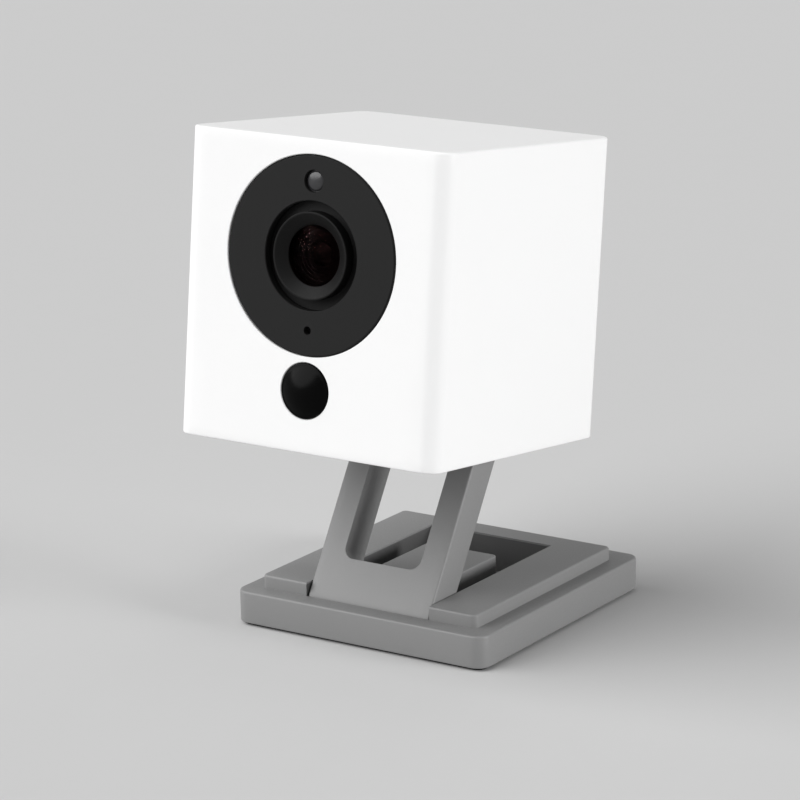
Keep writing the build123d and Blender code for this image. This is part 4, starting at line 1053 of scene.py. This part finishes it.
class FootPad(bpy.types.Operator):
    """Build the rubber foot: a thin pad with a rounded outline and a shallow groove round its underside"""

    bl_idname = "security_camera.foot_pad"
    bl_label = "Foot pad"

    def execute(self, context):
        half, front, back = pad_high[0], pad_low[1], pad_high[1]
        gap, stop, corner = 12 * MM, 16 * MM, 1.5 * MM
        # inset and height of each outline: the top's edge, the side, the bottom's edge and the groove
        insets = np.array((0.0, 0.0, 0.04, 0.15, 1.6, 1.75, 2.4, 2.55)) * MM
        heights = np.array((0.5, 0.15, 0.06, 0.0, 0.0, 0.15, 0.15, 0.0)) * MM
        rows = [half_outline(half, front, back, corner, gap, stop, inset) for inset in insets]
        wall = np.array([closed_outline(row, z) for row, z in zip(rows, heights)])
        patches = [(wall, False, True)]
        patches += [rows_across(rows[end], heights[end], gap) for end in (0, -1)]
        piece("rubber_foot", STAND, patches, "base", ["foot_pad"], "rubber_pad")
        return {"FINISHED"}


def bar_half(radius, line, length=0.0, bend=12, low_steps=3, high_steps=8):
    """Front half of a bar's section as (y, z): a quarter circle, a line up, then a cut straight across.

    With a length, it goes on up to a rounded end instead.
    """
    lower = np.concatenate((
        arc((0, 0), radius, -pi / 2, -pi, bend), spots(-radius, np.linspace(0, line, low_steps + 1)[1:])))
    if not length:
        return np.concatenate((lower, spots(np.linspace(-radius, 0, high_steps + bend + 1)[1:], line)))
    return np.concatenate((
        lower, spots(-radius, np.linspace(line, length, high_steps + 1)[1:]),
        arc((0, length), radius, pi, pi / 2, bend)[1:]))


def whole(half_row):
    """A half section and its mirror image as one closed row."""
    return np.concatenate((half_row, half_row[-2:0:-1] * (-1, 1)))


def at(row, x):
    """A row of (y, z) placed at a distance across."""
    return spots(x, row[:, 0], row[:, 1])


def both_sides(patches):
    """Patches and their mirror images."""
    return patches + [(grid * (-1, 1, 1), rows, columns) for grid, rows, columns in patches]


class FoldingArm(bpy.types.Operator):
    """Build the U-shaped arm: bar sections across its width, tall in the legs and short in the crossbar"""

    bl_idname = "security_camera.folding_arm"
    bl_label = "Folding arm"

    def execute(self, context):
        sizes = context.scene.camera_stand
        e, corner = sizes.arm_edge, sizes.opening_corner
        half, radius = arm_high[0], THICK / 2
        sleeve_bore, pin_bore, pin_depth = 2.12 * MM, 1.32 * MM, 1.5 * MM
        knee = CROSSBAR + corner
        bend_from = half - LEG - corner
        # right half from the middle: crossbar, corner of the opening, leg, then the rounded outer edge
        x = np.concatenate((
            np.linspace(0, bend_from, 5), bend_from + corner * np.sin(np.linspace(0, pi / 2, 9)[1:])))
        line = knee - np.sqrt(np.clip(corner ** 2 - np.clip(x - bend_from, 0, None) ** 2, 0, None))
        rows = [at(whole(bar_half(radius, h)), w) for w, h in zip(x, line)]
        rows += [at(whole(bar_half(radius, knee, REACH)), w) for w in np.linspace(half - LEG, half - e, 4)]
        rows += [at(whole(bar_half(radius - e * (1 - cos(a)), knee, REACH)), half - e + e * sin(a))
                 for a in np.linspace(0, pi / 2, 5)[1:]]
        patches = [(np.array(rows), False, True)]
        # side face: round the sleeve, up the leg, and round the upper pin
        front = bar_half(radius - e, knee, REACH)
        low_end, high_start = 13, len(front) - 14
        lower, upper = front[:low_end + 1], front[high_start:]
        for loop, centre, bore, inner in (
            (np.concatenate((lower, lower[:0:-1] * (-1, 1))), (0, 0), sleeve_bore, 0.0),
            (np.concatenate((upper, upper[-2::-1] * (-1, 1))), (0, REACH), pin_bore, half - pin_depth),
        ):
            ring = even_ring(loop, centre, bore)
            rings = [at(ring, inner)]
            if inner > 0:
                rings.append(at(np.tile(centre, (len(ring), 1)), inner))
            patches.append((np.concatenate((between(at(loop, half), at(ring, half), 3), rings)), False, True))
        leg = front[low_end:high_start + 1]
        patches.append((np.stack((at(leg, half), at(leg * (-1, 1), half)), 1), False, False))
        piece("folding_arm", ARM, both_sides(patches), "arm", ["arm"], "grey_shell", bevel=EASED)
        return {"FINISHED"}


class SwivelPlate(bpy.types.Operator):
    """Build the turntable: a ribbed disc, its hub, and the knuckle that hangs between the arm's legs"""

    bl_idname = "security_camera.swivel_plate"
    bl_label = "Swivel plate"

    def execute(self, context):
        radius, high = table_high[0], table_high[2]
        low, thick, hub = 3.1 * MM, 1.4 * MM, 4.0 * MM
        # disc: three shallow grooves in its underside, and a hub above it
        groove = 0.25 * MM
        corners = [(0, low, 0)]
        for ring in (11.5 * MM, 14.0 * MM, 16.5 * MM):
            corners += [(ring - 0.35 * MM, low, 0.1 * MM), (ring - 0.2 * MM, low + groove, 0.08 * MM),
                        (ring + 0.2 * MM, low + groove, 0.08 * MM), (ring + 0.35 * MM, low, 0.1 * MM)]
        corners += [(radius, low, 0.25 * MM), (radius, low + thick, 0.1 * MM), (hub, low + thick, 0),
                    (hub, high, 0.1 * MM), (0, high, 0)]
        patches = [(turned_up(softened(corners, 3), 0, 0, 128), False, True)]
        # knuckle: a bar across, round the upper hinge's axis and up into the disc
        e, play, drop = 0.25 * MM, 0.1 * MM, -0.3 * MM
        half = arm_high[0] - LEG - play
        turn = np.linspace(0, pi / 2, 4)[1:]
        x = np.concatenate((np.linspace(0, half - e, 4), half - e + e * np.sin(turn)))
        inset = np.concatenate((np.zeros(4), e * (1 - np.cos(turn))))
        halves = [bar_half(THICK / 2 - d, low - drop + play, 0, 10, 2, 4) for d in inset]
        rows = [at(whole(row), w) for row, w in zip(halves, x)]
        end = np.stack((at(halves[-1], half), at(halves[-1] * (-1, 1), half)), 1)
        knuckle = both_sides([(np.array(rows), False, True), (end, False, False)])
        patches += [(grid + (0, FOLDED, drop), rows, columns) for grid, rows, columns in knuckle]
        piece("swivel_plate", HEAD, patches, "turntable", ["turntable"], "grey_shell")
        return {"FINISHED"}


class InnerParts(bpy.types.Operator):
    """Give every CAD part that is kept its own detailed material"""

    bl_idname = "security_camera.inner_parts"
    bl_label = "Inner parts"

    def execute(self, context):
        for node in frame["nodes"].values():
            for holder in node.material_slots:
                slot = holder.material.name.split(".")[0]
                if slot in FINISHES:
                    holder.material = finish(slot)
        return {"FINISHED"}


# ------------------------------------------------------------------ the studio
class Studio(bpy.types.Operator):
    """Build the seamless pale floor, the soft lights and the camera"""

    bl_idname = "security_camera.studio"
    bl_label = "Studio"

    def execute(self, context):
        scene = context.scene
        set_up = scene.camera_studio
        # floor: a level disc whose rings widen outwards
        r = set_up.floor_radius * np.linspace(0, 1, 40) ** 2
        mesh = sewn("studio_floor", STAND, [(turned_up(spots(r, 0.0), 0, 0), False, True)])
        if mesh.polygons[0].normal.z < 0:
            mesh.flip_normals()
        floor = bpy.data.objects.new("studio_floor", mesh)
        scene.collection.objects.link(floor)
        # painted board: nearly matt, with a very faint unevenness
        mesh.materials.append(moulded("studio_paint_matt", tuple(set_up.floor_colour), 0.85,
                                      grain_mm=2.0, relief_mm=0.002, mottle=0.004, sheen=0.1))
        scene.world = bpy.data.worlds.new("studio_surroundings")
        scene.world.use_nodes = True
        tree = scene.world.node_tree
        tree.nodes.clear()
        # an even grey beyond the floor where it is seen or mirrored, and a weaker white as light
        path = add(tree, "ShaderNodeLightPath")
        seen = add(tree, "ShaderNodeMath", operation="MAXIMUM",
                   inputs=[(0, path.outputs["Is Camera Ray"]), (1, path.outputs["Is Glossy Ray"])])
        strength = ranged(tree, seen.outputs[0], set_up.sky, set_up.backdrop)
        shade = add(tree, "ShaderNodeBackground", [("Color", (1, 1, 1, 1)), ("Strength", strength)])
        add(tree, "ShaderNodeOutputWorld", [("Surface", shade.outputs[0])])
        for name, azimuth, elevation, strength, width in (
            ("key_light", -42, 36, set_up.key, set_up.key_softness),
            ("side_light", 100, 11, set_up.side, set_up.side_softness),
        ):
            light = bpy.data.lights.new(name, "SUN")
            light.energy = strength
            light.angle = width
            holder = bpy.data.objects.new(name, light)
            a, h = radians(azimuth), radians(elevation)
            towards = np.array((sin(a) * cos(h), -cos(a) * cos(h), sin(h)))
            side = np.cross((0, 0, 1), towards)
            side /= np.linalg.norm(side)
            turn = np.array((side, np.cross(towards, side), towards)).T
            holder.matrix_world = Matrix(turn.tolist()).to_4x4()
            scene.collection.objects.link(holder)
        # camera: its view direction from azimuth and elevation, then rolled about itself
        a, h, roll = set_up.azimuth, set_up.elevation, set_up.roll
        ahead = np.array((-sin(a) * cos(h), cos(a) * cos(h), -sin(h)))
        right = np.array((cos(a), sin(a), 0.0))
        up = np.cross(right, ahead)
        right, up = cos(roll) * right + sin(roll) * up, cos(roll) * up - sin(roll) * right
        data = bpy.data.cameras.new("studio_camera")
        data.lens = set_up.lens
        data.sensor_width = 36
        data.clip_start, data.clip_end = 0.01, 100
        camera = bpy.data.objects.new("studio_camera", data)
        turn = Matrix(np.array((right, up, -ahead)).T.tolist()).to_4x4()
        camera.matrix_world = Matrix.Translation(set_up.stands_at) @ turn
        scene.collection.objects.link(camera)
        scene.camera = camera
        scene.view_settings.view_transform = "Standard"
        return {"FINISHED"}


BUILDERS = (
    Studio, HeadShell, HeadCovers, CoverScrews, RearDetails, FrontPlate, LensParts, SensorParts,
    StandBase, FootPad, FoldingArm, SwivelPlate, InnerParts,
)
SETTINGS = {
    "camera_head": HeadSizes, "camera_front": FrontSizes, "camera_stand": StandSizes,
    "camera_colours": ShellColours, "camera_studio": StudioSettings,
}


class CameraPanel(bpy.types.Panel):
    """Lists the camera's pieces and their sizes"""

    bl_idname = "VIEW3D_PT_security_camera"
    bl_label = "Security camera"
    bl_space_type = "VIEW_3D"
    bl_region_type = "UI"
    bl_category = "Camera"

    def draw(self, context):
        for name, group in SETTINGS.items():
            column = self.layout.column(align=True)
            column.label(text=group.__doc__)
            for field in group.__annotations__:
                column.prop(getattr(context.scene, name), field)
        for builder in BUILDERS:
            self.layout.operator(builder.bl_idname)


def register():
    for made in (*SETTINGS.values(), *BUILDERS, CameraPanel):
        bpy.utils.register_class(made)
    for name, group in SETTINGS.items():
        setattr(bpy.types.Scene, name, PointerProperty(type=group))


def unregister():
    for name in SETTINGS:
        delattr(bpy.types.Scene, name)
    for made in (CameraPanel, *reversed(BUILDERS), *reversed(SETTINGS.values())):
        bpy.utils.unregister_class(made)


def main():
    register()
    for builder in BUILDERS:
        family, name = builder.bl_idname.split(".")
        getattr(getattr(bpy.ops, family), name)()


if __name__ == "__main__":
    main()
